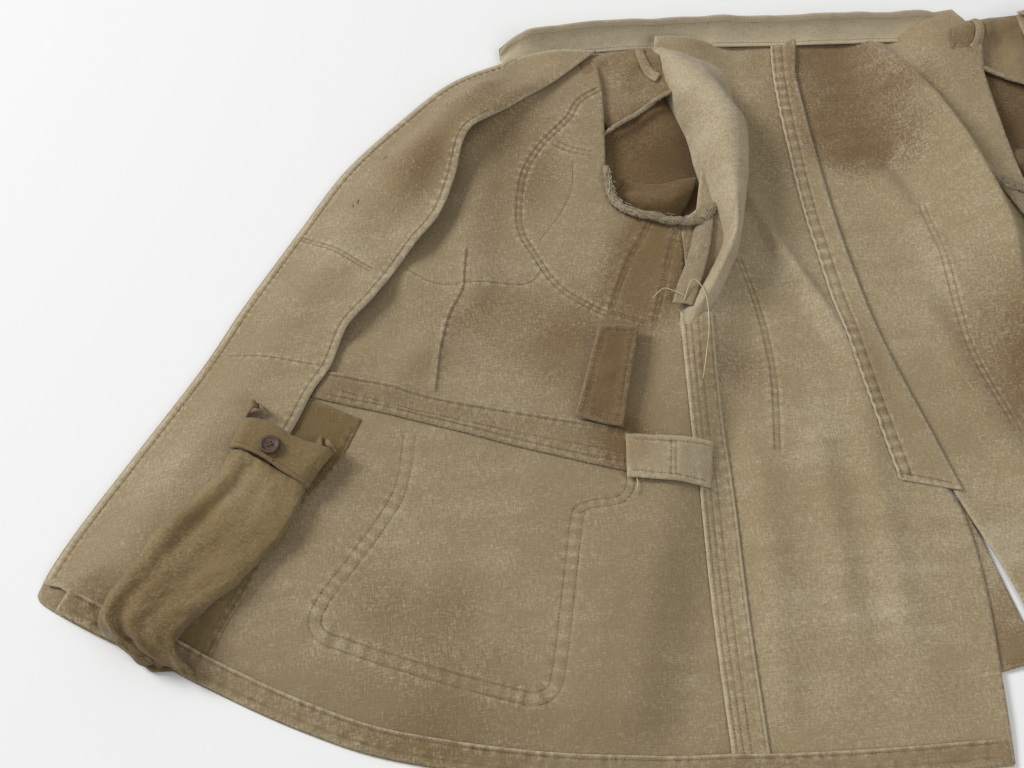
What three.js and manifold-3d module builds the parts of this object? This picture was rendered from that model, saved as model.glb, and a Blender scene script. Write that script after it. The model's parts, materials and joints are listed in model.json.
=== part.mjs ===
// A cotton canvas field jacket, unbuttoned, opened out and laid on its back with the inside up.
// Units are millimetres. +X is across the jacket, +Y runs up the centre back to the collar, +Z is up,
// and the origin is on the floor under the middle of the jacket.
// One half is drawn on the +X side as the wearer's left half. The wearer's right half is its mirror image.
import * as THREE from "three";
import { mergeVertices } from "three/addons/utils/BufferGeometryUtils.js";
import Module from "manifold-3d";

const wasm = await Module();
wasm.setup();

// Overall sizes
const HALF_SPREAD = 742; // centre back to the hem corner of an opened front
const COLLAR_Y = 383; // outer edge of the collar
const HEM_Y = -380; // hem at the centre back
const HEM_BEND_DROP = 25; // the point that bends the hem curve lies this far below the hem
const HEM_BEND_SHARE = 0.54; // and at this share of the half spread
const CORNER_RISE = 224; // the hem corner lies this far above the centre back hem

// Cloth
const CLOTH = 1.6; // one layer of canvas with its turnings
const GAP = 0.4; // air between two layers
const LAYER = CLOTH + GAP;
const CELL = 40; // spacing of the grid that all the layers are draped on
const EDGE_RUN = 60; // cloth raised by a sleeve comes down to the floor over this distance
const RISE_CLEARANCE = 8; // and it reaches its full height this far before the sleeve

// Back
const PANEL_TOP_Y = 344; // neck and shoulder edge of the back and the fronts
const SEAM_TOP_X = 166; // side back seam at the armhole
const SEAM_HEM_X = 207; // side back seam at the hem
const SEAM_WIDTH = 28; // felled seam band
const SEAM_SHARE = 0.3; // share of the band on the side panel
const UNDERARM_Y = 140; // lowest point of the armhole
const SIDE_TOP_RISE = 6; // the side panel's front edge runs up this far above the underarm
const STRIP_END_Y = -160; // lower end of the pleat strip down the centre back
const VENT_TOP_Y = -176;
const VENT_SPREAD = 58; // how far the vent stands open at the hem
const UNDERLAY_TUCK = 22; // the vent's underlay starts this far below the top of the vent
const UNDERLAY_TOP_WIDTH = 3;
const UNDERLAY_END_Y = -300;
const HEM_WIDTH = 22;

// Fold of cloth that stands along the back of each armhole
const ROLL_HEIGHT = 22;
const ROLL_WIDTH = 44;
const RIDGE_TAPER = 0.25; // its share of the full height and width at both ends
const RIDGE_STEPS = 8;
const RIDGE_SIDES = 6;

// Front
const FOLD_X = 220; // line where a front folds over the back
const NECK_X = 304; // front end of the neck edge
const ARMHOLE_TOP_X = 213;
const FACING_WIDTH = 96;
const FACING_TOP_Y = 298; // above this the facing runs in under the shoulder
const FACING_NECK_INSET = 26; // its end on the shoulder lies this far out from the armhole
const EDGE_INSET = 4; // the turned front edge beyond the facing
const STAY_WIDTH = 40;
const STAY_FRONT_Y = 22; // waist stay at the front edge
const STAY_BACK_Y = -92; // waist stay at the fold line
const STAY_FRONT_X = 590;
const WAIST_PATCH_WIDTH = 40; // mending patch across the side panel at the waist
const WAIST_PATCH_HEIGHT = 48;
const WAIST_PATCH_DROP = 0.7; // share of it below the waist stay

// Outside pockets and shoulder patch, seen only as stitching from inside
const BREAST_LOW_Y = 66;
const BREAST_INNER_X = 296;
const PATCH_TOP_Y = 300;
const PATCH_LOW_Y = 40;
const PATCH_REACH = 62; // how far the shoulder patch reaches in from the armhole
const LOWER_TOP_Y = -104;
const LOWER_INNER_X = 262;

// Inside bellows pocket
const POCKET_WIDTH = 97;
const POCKET_LENGTH = 180;
const POCKET_FROM_EDGE = 60;
const POCKET_FROM_HEM = 22;
const POCKET_DEPTH = 13; // height of the bellows wall
const POCKET_WALL = 2.4;
const POCKET_CLEAR = 1; // air between the bellows wall and the pocket's face
const POCKET_BAND = 24;

// Waist tab
const TAB_TOP_Y = 28;
const TAB_INNER_X = 226;
const TAB_THICKNESS = 3.2;

// Sleeve, lying flat under the front
const SLEEVE_X = 205; // middle of the sleeve at the underarm
const SLEEVE_TURN = THREE.MathUtils.degToRad(20); // it points this far out from straight down
const SLEEVE_HEAD = 10; // the tube of the sleeve starts this far above the underarm
const SLEEVE_TO_HEM = 115; // the cuff ends this far above the centre back hem
const SLEEVE_HALF_TOP = 62;
const SLEEVE_HALF_END = 52;
const SLEEVE_HOLLOW = 6; // height of the space inside the flat sleeve
const SLEEVE_WALL = 3; // folded long edge of the sleeve
const SLEEVE_FLOOR = 0.4;
const CUFF_LENGTH = 52;
const CUFF_EXTRA = 0.6; // the cuff is thicker than the sleeve by this much on each face
const CUFF_BUTTON_INSET = 20; // button centre to the cuff's long edge
const SLEEVE_REACH = (UNDERARM_Y + SLEEVE_HEAD - HEM_Y - SLEEVE_TO_HEM) / Math.cos(SLEEVE_TURN);
const SLEEVE_LENGTH = SLEEVE_REACH - CUFF_LENGTH; // underarm to cuff seam

// Collar
const COLLAR_RIGHT_END = -300;
const COLLAR_LEFT_END = 152; // the other end is folded away under the left shoulder
const COLLAR_FOOT_Y = 350; // seam edge of the stand
const COLLAR_LEAF_Y = 358; // free edge of the leaf
const COLLAR_RISE = 24;
const COLLAR_CLOTH = 2;

// Buttons
const BUTTON_RADIUS = 8.5;
const BUTTON_THICKNESS = 3;
const CUFF_BUTTON_RADIUS = 7;
const CUFF_BUTTON_THICKNESS = 2;
const BUTTON_STATIONS = [0.14, 0.37, 0.6, 0.83]; // shares of the front edge, from the neck
const BUTTON_INSET = 34; // button centre to the front edge
const BUTTON_SIDES = 16;
const RIM_POINTS = 12; // places round a button where the cloth's height is taken

// Outlines that are not straight. Each pair is a distance across and a distance up from a named corner.
const SEAM_UPPER = [[0, -4], [8, -110]]; // side back seam, from the underarm
const SEAM_LOWER = [[-14, 250]]; // side back seam, from its end on the hem
const ARMHOLE_BACK_LOWER = [[-6, 2], [-26, 50], [-30, 130]]; // from the underarm end of the side back seam
const ARMHOLE_BACK_UPPER = [[-6, 0]]; // from the shoulder above that end
const ARMHOLE_FRONT_LOWER = [[GAP / 2, 10], [8, 60], [1, 150]]; // from the fold line at the underarm
const BINDING_LINE = [[50, 1], [30, -8], [4, -10]]; // from the underarm end of the side back seam
const BINDING_WIDTH = 10;
const ROLL_LOWER = [[-14, -96], [-39.2, -30], [-56, 60], [-47.4, 140]]; // from the same end
const ROLL_UPPER = [[-30, -14]]; // from the shoulder above it
const STRIP_UPPER = [[-39, -304], [-34, -1], [20, -1], [0, -194]]; // from the middle of the neck edge
const STRIP_LOWER = [[2, 100], [14, 0], [-32, 16], [-38, 100]]; // from the centre at the strip's end
const STAY_BACK_LINE = [[3, 0], [105, 18]]; // from the fold line
const STAY_FRONT_LINE = [[-129, -44], [0, 0]]; // from its front end
// Shoulder patch: shares of its reach and of its height
const PATCH_CURVE = [[0, 0], [0.75, 0.18], [1, 0.5], [0.6, 0.85], [0.1, 1]];
const PATCH_FROM_FOLD = 5;
const BREAST_OUTLINE = [[0, 0], [118, 8], [108, 112], [6, 118]]; // from its lower inner corner
// Lower outside pocket, from its upper inner corner
const LOWER_OUTLINE = [[0, 0], [36, -40], [84, -180], [256, -108], [180, -8], [172, 48]];
const TAB_OUTLINE = [[0, 0], [32, 3], [58, -84], [26, -98]]; // from its upper inner corner
// Sleeve cap: from the underarm end of the side back seam, and from the fold line at the underarm
const CAP_BACK = [[-8, -14], [-24, 60], [-20, 140]];
const CAP_FRONT = [[-2, 130], [6, 14]];
const CAP_DROP = 10; // top of the cap below the shoulder
const CAP_INSET = 4; // and its corners in from the armhole's
// Half section of a button: shares of its radius and of its thickness
const BUTTON_PROFILE = [[0, 0], [0.8, 0], [1, 0.3], [1, 0.7], [0.85, 1], [0.6, 0.7], [0, 0.7]];
const ARMHOLE_BACK_STEPS = 6;
const ARMHOLE_FRONT_STEPS = 5;
const STAY_STEPS = 6;
const PATCH_STEPS = 10;

// The front is raised clear of the sleeve, its cuff button and the patches on the front's underside.
const SLEEVE_STACK = SLEEVE_FLOOR + 2 * CLOTH + SLEEVE_HOLLOW + CUFF_EXTRA + CUFF_BUTTON_THICKNESS;
const LIFT = SLEEVE_STACK + LAYER + 5 * GAP;

const CANVAS = { color: 0x8a7a55, roughness: 0.92, metalness: 0 };
const CANVAS_DARK = { color: 0x6e6038, roughness: 0.94, metalness: 0 };
const CANVAS_NEW = { color: 0xa08f60, roughness: 0.9, metalness: 0 };
const TAPE = { color: 0x9a9184, roughness: 0.95, metalness: 0 };
const HORN = { color: 0x4a2f22, roughness: 0.45, metalness: 0 };

const point = (x, y) => new THREE.Vector2(x, y);
const points = (...pairs) => pairs.map(([x, y]) => point(x, y));
const placed = (x, y, shape) => shape.map(([across, up]) => point(x + across, y + up));
const smooth = (low, high, value) => THREE.MathUtils.smoothstep(value, low, high);

// ---- Solids -------------------------------------------------------------------------------------

const WELD = 1e-4; // points nearer than this are one point

function solidOf(geometry) {
  const bare = geometry.clone();
  bare.deleteAttribute("normal");
  bare.deleteAttribute("uv");
  const merged = mergeVertices(bare, WELD);
  return new wasm.Manifold(new wasm.Mesh({
    numProp: 3,
    vertProperties: merged.attributes.position.array,
    triVerts: new Uint32Array(merged.index.array),
  }));
}

function geometryOf(solid) {
  const mesh = solid.getMesh();
  const geometry = new THREE.BufferGeometry();
  geometry.setAttribute("position", new THREE.BufferAttribute(mesh.vertProperties, 3));
  geometry.setIndex(new THREE.BufferAttribute(mesh.triVerts, 1));
  return geometry;
}

// Upright prism over a closed outline.
function prism(outline, low, high) {
  const ring = THREE.ShapeUtils.isClockWise(outline) ? [...outline].reverse() : outline;
  const options = { depth: high - low, bevelEnabled: false };
  return solidOf(new THREE.ExtrudeGeometry(new THREE.Shape(ring), options).translate(0, 0, low));
}

// ---- Lines of the pattern -----------------------------------------------------------------------

const NECK = point(NECK_X, PANEL_TOP_Y);
const CORNER = point(HALF_SPREAD, HEM_Y + CORNER_RISE);

// The front edge bows outwards below the neck. Each pair is a share of the run and of the drop.
const EDGE_SHAPE = [[0, 0], [0.25, 0.09], [0.48, 0.32], [0.69, 0.6], [1, 1]];
const EDGE_STEPS = 12;
const frontEdge = new THREE.SplineCurve(EDGE_SHAPE.map(([run, drop]) => point(
  NECK.x + run * (CORNER.x - NECK.x),
  NECK.y + drop * (CORNER.y - NECK.y),
))).getPoints(EDGE_STEPS);

const HEM_BEND = point(HEM_BEND_SHARE * HALF_SPREAD, HEM_Y - HEM_BEND_DROP);
const HEM_STEPS = 12;
const hem = new THREE.QuadraticBezierCurve(CORNER, HEM_BEND, point(0, HEM_Y)).getPoints(HEM_STEPS);

const boundary = [...frontEdge, ...hem.slice(1)];

function distanceToLine(line, place) {
  const on = new THREE.Vector3();
  const target = new THREE.Vector3(place.x, place.y, 0);
  const span = new THREE.Line3();
  let least = Infinity;
  for (let i = 1; i < line.length; i++) {
    span.start.set(line[i - 1].x, line[i - 1].y, 0);
    span.end.set(line[i].x, line[i].y, 0);
    span.closestPointToPoint(target, true, on);
    least = Math.min(least, on.distanceTo(target));
  }
  return least;
}

function inside(ring, place) {
  let within = false;
  for (let i = 0, j = ring.length - 1; i < ring.length; j = i, i += 1) {
    const a = ring[i];
    const b = ring[j];
    const crosses = a.y > place.y !== b.y > place.y;
    if (crosses && place.x < ((b.x - a.x) * (place.y - a.y)) / (b.y - a.y) + a.x) within = !within;
  }
  return within;
}

const footprint = [...boundary, point(0, PANEL_TOP_Y + EDGE_RUN), point(NECK_X, PANEL_TOP_Y + EDGE_RUN)];

// Height of a line across the pattern at x.
function heightAt(line, x) {
  for (let i = 1; i < line.length; i++) {
    const a = line[i - 1];
    const b = line[i];
    if ((x - a.x) * (x - b.x) <= 0) return a.y + ((b.y - a.y) * (x - a.x)) / (b.x - a.x);
  }
  return line.at(-1).y;
}

// Moves a line sideways: positive is to the left of its direction.
function beside(line, offset) {
  return line.map((here, i) => {
    const before = line[Math.max(i - 1, 0)];
    const after = line[Math.min(i + 1, line.length - 1)];
    const along = after.clone().sub(before).normalize();
    return point(here.x - along.y * offset, here.y + along.x * offset);
  });
}

const band = (line, left, right) => [...beside(line, left), ...beside(line, right).reverse()];

// ---- Draping ------------------------------------------------------------------------------------

const sleeveWay = point(Math.sin(SLEEVE_TURN), -Math.cos(SLEEVE_TURN));
const sleeveSide = point(Math.cos(SLEEVE_TURN), Math.sin(SLEEVE_TURN));

// Height of the underside of the main cloth: on the floor at the middle and at the edges, raised over
// the sleeve and everything outside it.
function underside(x, y) {
  const place = point(Math.abs(x), y);
  const down = Math.max(UNDERARM_Y - y, 0);
  const sleeveInner = SLEEVE_X - SLEEVE_HALF_TOP / Math.cos(SLEEVE_TURN) + down * Math.tan(SLEEVE_TURN);
  const foot = sleeveInner - RISE_CLEARANCE - EDGE_RUN;
  const rise = smooth(foot, foot + EDGE_RUN, place.x);
  const inset = inside(footprint, place) ? distanceToLine(boundary, place) : 0;
  return LIFT * rise * smooth(0, EDGE_RUN, inset);
}

// Height of the draped grid itself at a place: flat triangles between the grid's points.
function draped(x, y) {
  const [i, j] = [Math.floor(x / CELL), Math.floor(y / CELL)];
  const [u, v] = [x / CELL - i, y / CELL - j];
  const at = (a, b) => underside((i + a) * CELL, (j + b) * CELL);
  const [near, far] = [at(0, 0), at(1, 1)];
  return u > v
    ? near + (at(1, 0) - near) * u + (far - at(1, 0)) * v
    : near + (at(0, 1) - near) * v + (far - at(0, 1)) * u;
}

// Heights of the draped grid round the rim of a disc.
function drapedRim(centre, radius) {
  const circle = new THREE.EllipseCurve(centre.x, centre.y, radius, radius).getPoints(RIM_POINTS);
  return circle.map(({ x, y }) => draped(x, y));
}

// Closed slab on the draping grid, between two offsets from the underside of the main cloth.
function blanket(outline, low, high) {
  const box = new THREE.Box2().setFromPoints(outline);
  const start = box.min.divideScalar(CELL).floor();
  const end = box.max.divideScalar(CELL).ceil();
  const across = end.x - start.x + 1;
  const up = end.y - start.y + 1;
  const position = [];
  for (const offset of [low, high]) {
    for (let j = 0; j < up; j++) {
      for (let i = 0; i < across; i++) {
        const x = (start.x + i) * CELL;
        const y = (start.y + j) * CELL;
        position.push(x, y, underside(x, y) + offset);
      }
    }
  }
  const top = across * up;
  const at = (i, j) => j * across + i;
  const index = [];
  const wall = (a, b) => index.push(a, b, b + top, a, b + top, a + top);
  for (let j = 0; j + 1 < up; j++) {
    for (let i = 0; i + 1 < across; i++) {
      const [a, b, c, d] = [at(i, j), at(i + 1, j), at(i + 1, j + 1), at(i, j + 1)];
      index.push(a, c, b, a, d, c, a + top, b + top, c + top, a + top, c + top, d + top);
    }
    wall(at(0, j + 1), at(0, j));
    wall(at(across - 1, j), at(across - 1, j + 1));
  }
  for (let i = 0; i + 1 < across; i++) {
    wall(at(i, 0), at(i + 1, 0));
    wall(at(i + 1, up - 1), at(i, up - 1));
  }
  const geometry = new THREE.BufferGeometry();
  geometry.setAttribute("position", new THREE.Float32BufferAttribute(position, 3));
  geometry.setIndex(index);
  return solidOf(geometry);
}

// A piece of cloth: an outline cut out of the slab that lies a number of layers above the main cloth.
function cloth(outline, level, thickness = CLOTH) {
  const low = level * LAYER;
  return blanket(outline, low, low + thickness).intersect(prism(outline, -CELL, 3 * CELL));
}

// ---- Back ---------------------------------------------------------------------------------------

const hemBetween = (low, high) => hem.filter(({ x }) => x > low && x < high);
const onHem = (x) => point(x, heightAt(hem, x));

const seamLine = [
  ...placed(SEAM_TOP_X, UNDERARM_Y, SEAM_UPPER),
  ...placed(SEAM_HEM_X, HEM_Y, SEAM_LOWER),
  onHem(SEAM_HEM_X),
];

const armholeBack = new THREE.SplineCurve([
  ...placed(SEAM_TOP_X, UNDERARM_Y, ARMHOLE_BACK_LOWER),
  ...placed(SEAM_TOP_X, PANEL_TOP_Y, ARMHOLE_BACK_UPPER),
]).getPoints(ARMHOLE_BACK_STEPS);

function backOutline(ventOpen) {
  const centre = ventOpen
    ? [onHem(VENT_SPREAD), point(GAP, VENT_TOP_Y), point(GAP, PANEL_TOP_Y)]
    : [point(GAP, HEM_Y), point(GAP, PANEL_TOP_Y)];
  const hemPart = hemBetween(ventOpen ? VENT_SPREAD : GAP, SEAM_HEM_X - GAP);
  const side = beside(seamLine, -GAP / 2);
  return [...centre, ...[...armholeBack].reverse(), ...side, ...hemPart];
}

// A soft ridge: a half-round section that widens and rises along a line and tapers at both ends.
function ridge(line, width, height, foot) {
  const path = new THREE.SplineCurve(line);
  const rings = [];
  for (let k = 0; k <= RIDGE_STEPS; k++) {
    const share = k / RIDGE_STEPS;
    const swell = THREE.MathUtils.lerp(RIDGE_TAPER, 1, Math.sin(Math.PI * share));
    const middle = path.getPoint(share);
    const along = path.getTangent(share);
    const base = underside(middle.x, middle.y) + foot;
    const ring = [];
    for (let s = 0; s <= RIDGE_SIDES; s++) {
      const turn = (Math.PI * s) / RIDGE_SIDES;
      const out = (Math.cos(turn) * width * swell) / 2;
      ring.push([middle.x + along.y * out, middle.y - along.x * out, base + Math.sin(turn) * height * swell]);
    }
    rings.push(ring);
  }
  const index = [];
  const count = RIDGE_SIDES + 1;
  for (let k = 0; k < RIDGE_STEPS; k++) {
    for (let s = 0; s < count; s++) {
      const a = k * count + s;
      const b = k * count + ((s + 1) % count);
      index.push(a, b + count, b, a, a + count, b + count);
    }
  }
  for (let s = 1; s + 1 < count; s++) {
    index.push(0, s, s + 1);
    const last = RIDGE_STEPS * count;
    index.push(last, last + s + 1, last + s);
  }
  const geometry = new THREE.BufferGeometry();
  geometry.setAttribute("position", new THREE.Float32BufferAttribute(rings.flat(2), 3));
  geometry.setIndex(index);
  return solidOf(geometry);
}

const rollLine = [
  ...placed(SEAM_TOP_X, UNDERARM_Y, ROLL_LOWER),
  ...placed(SEAM_TOP_X, PANEL_TOP_Y, ROLL_UPPER),
];

function backPanel(ventOpen) {
  const panel = cloth(backOutline(ventOpen), 0);
  return panel.add(ridge(rollLine, ROLL_WIDTH, ROLL_HEIGHT, CLOTH / 2));
}

function sidePanel() {
  const side = beside(seamLine, GAP / 2);
  const inner = FOLD_X - GAP / 2;
  return cloth([...side, onHem(inner), point(inner, UNDERARM_Y + SIDE_TOP_RISE)], 0);
}

// The felled band stops above the hem band, which is turned up over the seam.
function sideBackSeam() {
  const highest = Math.max(onHem(SEAM_HEM_X - SEAM_WIDTH).y, onHem(SEAM_HEM_X + SEAM_WIDTH).y);
  const line = [...seamLine.slice(1, -1), point(SEAM_HEM_X, highest + HEM_WIDTH)];
  return cloth(band(line, SEAM_WIDTH * SEAM_SHARE, SEAM_WIDTH * (SEAM_SHARE - 1)), 1);
}

function hemBand(from, to, level) {
  const line = [onHem(to), ...hemBetween(from, to), onHem(from)];
  const lower = line.map((p) => point(p.x, p.y + GAP));
  const upper = line.map((p) => point(p.x, p.y + HEM_WIDTH)).reverse();
  return cloth([...lower, ...upper], level);
}

function armholeBinding() {
  const line = placed(SEAM_TOP_X, UNDERARM_Y, BINDING_LINE);
  return cloth(band(line, BINDING_WIDTH / 2, -BINDING_WIDTH / 2), 2);
}

function waistPatch() {
  const [inner, outer] = [FOLD_X - WAIST_PATCH_WIDTH, FOLD_X - 2 * GAP];
  const low = STAY_BACK_Y - WAIST_PATCH_HEIGHT * WAIST_PATCH_DROP;
  const high = low + WAIST_PATCH_HEIGHT;
  return cloth(points([outer, high], [inner, high - EDGE_INSET], [inner, low - EDGE_INSET], [outer, low]), 2);
}

// Pleat strip: it leans across the centre line, so it is drawn in the wearer's left half's own axes.
const centreStrip = () => cloth([
  ...placed(0, PANEL_TOP_Y, STRIP_UPPER),
  ...placed(0, STRIP_END_Y, STRIP_LOWER),
], 1);

function ventUnderlay() {
  const share = (UNDERLAY_END_Y - VENT_TOP_Y) / (HEM_Y - VENT_TOP_Y);
  const out = VENT_SPREAD * share - 4 * GAP;
  const [inner, top] = [2 * GAP, VENT_TOP_Y - UNDERLAY_TUCK];
  return prism(points([inner, top], [inner, UNDERLAY_END_Y], [out, UNDERLAY_END_Y],
    [inner + UNDERLAY_TOP_WIDTH, top]), 0, CLOTH);
}

// ---- Front --------------------------------------------------------------------------------------

const armholeFront = new THREE.SplineCurve([
  ...placed(FOLD_X, UNDERARM_Y, ARMHOLE_FRONT_LOWER),
  point(ARMHOLE_TOP_X, PANEL_TOP_Y),
]).getPoints(ARMHOLE_FRONT_STEPS);

function frontPanel() {
  const inner = FOLD_X + GAP / 2;
  return cloth([onHem(inner), ...armholeFront, ...frontEdge, ...hemBetween(inner, HALF_SPREAD)], 0);
}

function facing() {
  const line = frontEdge.filter(({ y }) => y < FACING_TOP_Y);
  const outer = beside(line, -EDGE_INSET);
  const inner = beside(line, -FACING_WIDTH).reverse();
  const top = point(ARMHOLE_TOP_X + FACING_NECK_INSET, PANEL_TOP_Y - EDGE_INSET);
  const neck = point(NECK_X - 2 * EDGE_INSET, PANEL_TOP_Y - EDGE_INSET);
  const upper = beside(frontEdge, -EDGE_INSET).slice(1, EDGE_STEPS + 1 - line.length);
  const low = CORNER.clone().add(point(-EDGE_INSET * 2, EDGE_INSET));
  const hemInner = point(inner[0].x, onHem(inner[0].x).y + EDGE_INSET);
  return cloth([top, neck, ...upper, ...outer.slice(0, -1), low, hemInner, ...inner.slice(0, -1)], 2);
}

const stayLine = new THREE.SplineCurve([
  ...placed(FOLD_X, STAY_BACK_Y, STAY_BACK_LINE),
  ...placed(STAY_FRONT_X, STAY_FRONT_Y, STAY_FRONT_LINE),
]).getPoints(STAY_STEPS);

const waistStay = () => cloth(band(stayLine, STAY_WIDTH / 2, -STAY_WIDTH / 2), 1);

// The patch runs from the fold line at the underarm up beside the armhole.
function shoulderPatch() {
  const inner = FOLD_X + PATCH_FROM_FOLD;
  const height = PATCH_TOP_Y - PATCH_LOW_Y;
  const bend = PATCH_CURVE.map(([out, up]) => point(inner + out * PATCH_REACH, PATCH_LOW_Y + up * height));
  const curve = new THREE.SplineCurve(bend).getPoints(PATCH_STEPS);
  return cloth([...curve, point(inner, UNDERARM_Y)], -1);
}

const breastPocket = () => cloth(placed(BREAST_INNER_X, BREAST_LOW_Y, BREAST_OUTLINE), -1);

const lowerPocket = () => cloth(placed(LOWER_INNER_X, LOWER_TOP_Y, LOWER_OUTLINE), -1);

// ---- Inside pocket ------------------------------------------------------------------------------

const edgeUp = frontEdge.at(-3).clone().sub(CORNER).normalize();
const edgeIn = point(-edgeUp.y, edgeUp.x);

// Point measured up the front edge and in from it, starting at the hem corner.
function fromCorner(up, inwards) {
  return CORNER.clone().addScaledVector(edgeUp, up).addScaledVector(edgeIn, inwards);
}

function pocketRing(inset, mouthInset) {
  const low = POCKET_FROM_HEM + inset;
  const high = POCKET_FROM_HEM + POCKET_LENGTH - mouthInset;
  const outer = POCKET_FROM_EDGE + inset;
  const inner = POCKET_FROM_EDGE + POCKET_WIDTH - inset;
  return [fromCorner(low, outer), fromCorner(high, outer), fromCorner(high, inner), fromCorner(low, inner)];
}

const POCKET_LEVEL = 4; // layers under the pocket
const faceLevel = POCKET_LEVEL + (POCKET_DEPTH + POCKET_CLEAR) / LAYER;

const pocketGusset = () => cloth(pocketRing(0, 0), POCKET_LEVEL, POCKET_DEPTH)
  .subtract(cloth(pocketRing(POCKET_WALL, -CELL), POCKET_LEVEL - 1, POCKET_DEPTH + 2 * LAYER));

const pocketFace = () => cloth(pocketRing(0, 0), faceLevel);

function pocketBand() {
  const high = POCKET_FROM_HEM + POCKET_LENGTH;
  const [outer, inner] = [POCKET_FROM_EDGE, POCKET_FROM_EDGE + POCKET_WIDTH];
  return cloth([fromCorner(high - POCKET_BAND, outer), fromCorner(high, outer), fromCorner(high, inner),
    fromCorner(high - POCKET_BAND, inner)], faceLevel + 1);
}

// ---- Tab, buttons -------------------------------------------------------------------------------

const waistTab = () => cloth(placed(TAB_INNER_X, TAB_TOP_Y, TAB_OUTLINE), 2, TAB_THICKNESS);

// Rimmed disc with a dished face, its base at z = 0.
function button(radius, thickness) {
  const profile = BUTTON_PROFILE.map(([out, up]) => point(out * radius, up * thickness));
  return new THREE.LatheGeometry(profile, BUTTON_SIDES).rotateX(Math.PI / 2);
}

// ---- Sleeve -------------------------------------------------------------------------------------

function onSleeve(down, out) {
  const head = point(SLEEVE_X, UNDERARM_Y + SLEEVE_HEAD);
  return head.addScaledVector(sleeveWay, down).addScaledVector(sleeveSide, out);
}

function sleeveHalf(down) {
  return THREE.MathUtils.lerp(SLEEVE_HALF_TOP, SLEEVE_HALF_END, down / SLEEVE_LENGTH);
}

function sleeveRing(from, to, inset) {
  return [onSleeve(from, -sleeveHalf(from) + inset), onSleeve(to, -sleeveHalf(to) + inset),
    onSleeve(to, sleeveHalf(to) - inset), onSleeve(from, sleeveHalf(from) - inset)];
}

const sleeveTop = SLEEVE_FLOOR + CLOTH + SLEEVE_HOLLOW;

// The outer half of the sleeve lies on the floor and carries the sleeve's cap up into the armhole.
function topSleeve() {
  const cap = [
    ...placed(SEAM_TOP_X, UNDERARM_Y, CAP_BACK),
    point(SEAM_TOP_X + CAP_INSET, PANEL_TOP_Y - CAP_DROP),
    point(ARMHOLE_TOP_X - 2 * CAP_INSET, PANEL_TOP_Y - CAP_DROP),
    ...placed(FOLD_X, UNDERARM_Y, CAP_FRONT),
  ];
  const flat = SLEEVE_FLOOR + CLOTH;
  const walls = prism(sleeveRing(0, SLEEVE_LENGTH, 0), SLEEVE_FLOOR, sleeveTop - GAP)
    .subtract(prism(sleeveRing(-CELL, SLEEVE_LENGTH + CELL, SLEEVE_WALL), flat, sleeveTop + CELL));
  return walls.add(prism(cap, SLEEVE_FLOOR, flat));
}

const underSleeve = () => prism(sleeveRing(0, SLEEVE_LENGTH, 0), sleeveTop, sleeveTop + CLOTH);

const cuffHalf = SLEEVE_HALF_END + 2;
const cuffStart = SLEEVE_LENGTH + GAP;
const cuffTop = sleeveTop + CLOTH + CUFF_EXTRA;

function cuffRing(half, from, to) {
  return [onSleeve(from, -half), onSleeve(to, -half), onSleeve(to, half), onSleeve(from, half)];
}

function cuff() {
  const wall = CLOTH + CUFF_EXTRA;
  const outer = prism(cuffRing(cuffHalf, cuffStart, cuffStart + CUFF_LENGTH), 0, cuffTop);
  const hollow = prism(cuffRing(cuffHalf - wall, cuffStart - CELL, cuffStart + CUFF_LENGTH + CELL),
    wall, cuffTop - wall);
  return outer.subtract(hollow);
}

// ---- Collar -------------------------------------------------------------------------------------

// Extrudes a section given as y, z points along X, from one end of the collar to the other.
function alongCollar(section) {
  const options = { depth: COLLAR_LEFT_END - COLLAR_RIGHT_END, bevelEnabled: false };
  const geometry = new THREE.ExtrudeGeometry(new THREE.Shape(section), options);
  return geometry.rotateY(Math.PI / 2).rotateX(Math.PI / 2).translate(COLLAR_RIGHT_END, 0, 0);
}

const collarFold = COLLAR_Y - COLLAR_CLOTH - GAP;
const collarStand = () => alongCollar(points(
  [COLLAR_FOOT_Y, COLLAR_CLOTH],
  [COLLAR_FOOT_Y + COLLAR_CLOTH, COLLAR_CLOTH],
  [collarFold, COLLAR_RISE - COLLAR_CLOTH / 2],
  [collarFold - COLLAR_CLOTH, COLLAR_RISE + COLLAR_CLOTH / 2],
));

const collarLeaf = () => alongCollar(points(
  [COLLAR_LEAF_Y, 0],
  [COLLAR_Y, 0],
  [COLLAR_Y, COLLAR_RISE],
  [COLLAR_Y - COLLAR_CLOTH, COLLAR_RISE],
  [COLLAR_Y - COLLAR_CLOTH, COLLAR_CLOTH],
  [COLLAR_LEAF_Y, COLLAR_CLOTH],
));

// ---- Assembly -----------------------------------------------------------------------------------

const jacket = new THREE.Group();

function piece(group, name, shape, finish) {
  const geometry = shape.isBufferGeometry ? shape : geometryOf(shape);
  const mesh = new THREE.Mesh(geometry, new THREE.MeshStandardMaterial(finish));
  mesh.name = name;
  group.add(mesh);
  return mesh;
}

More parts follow.
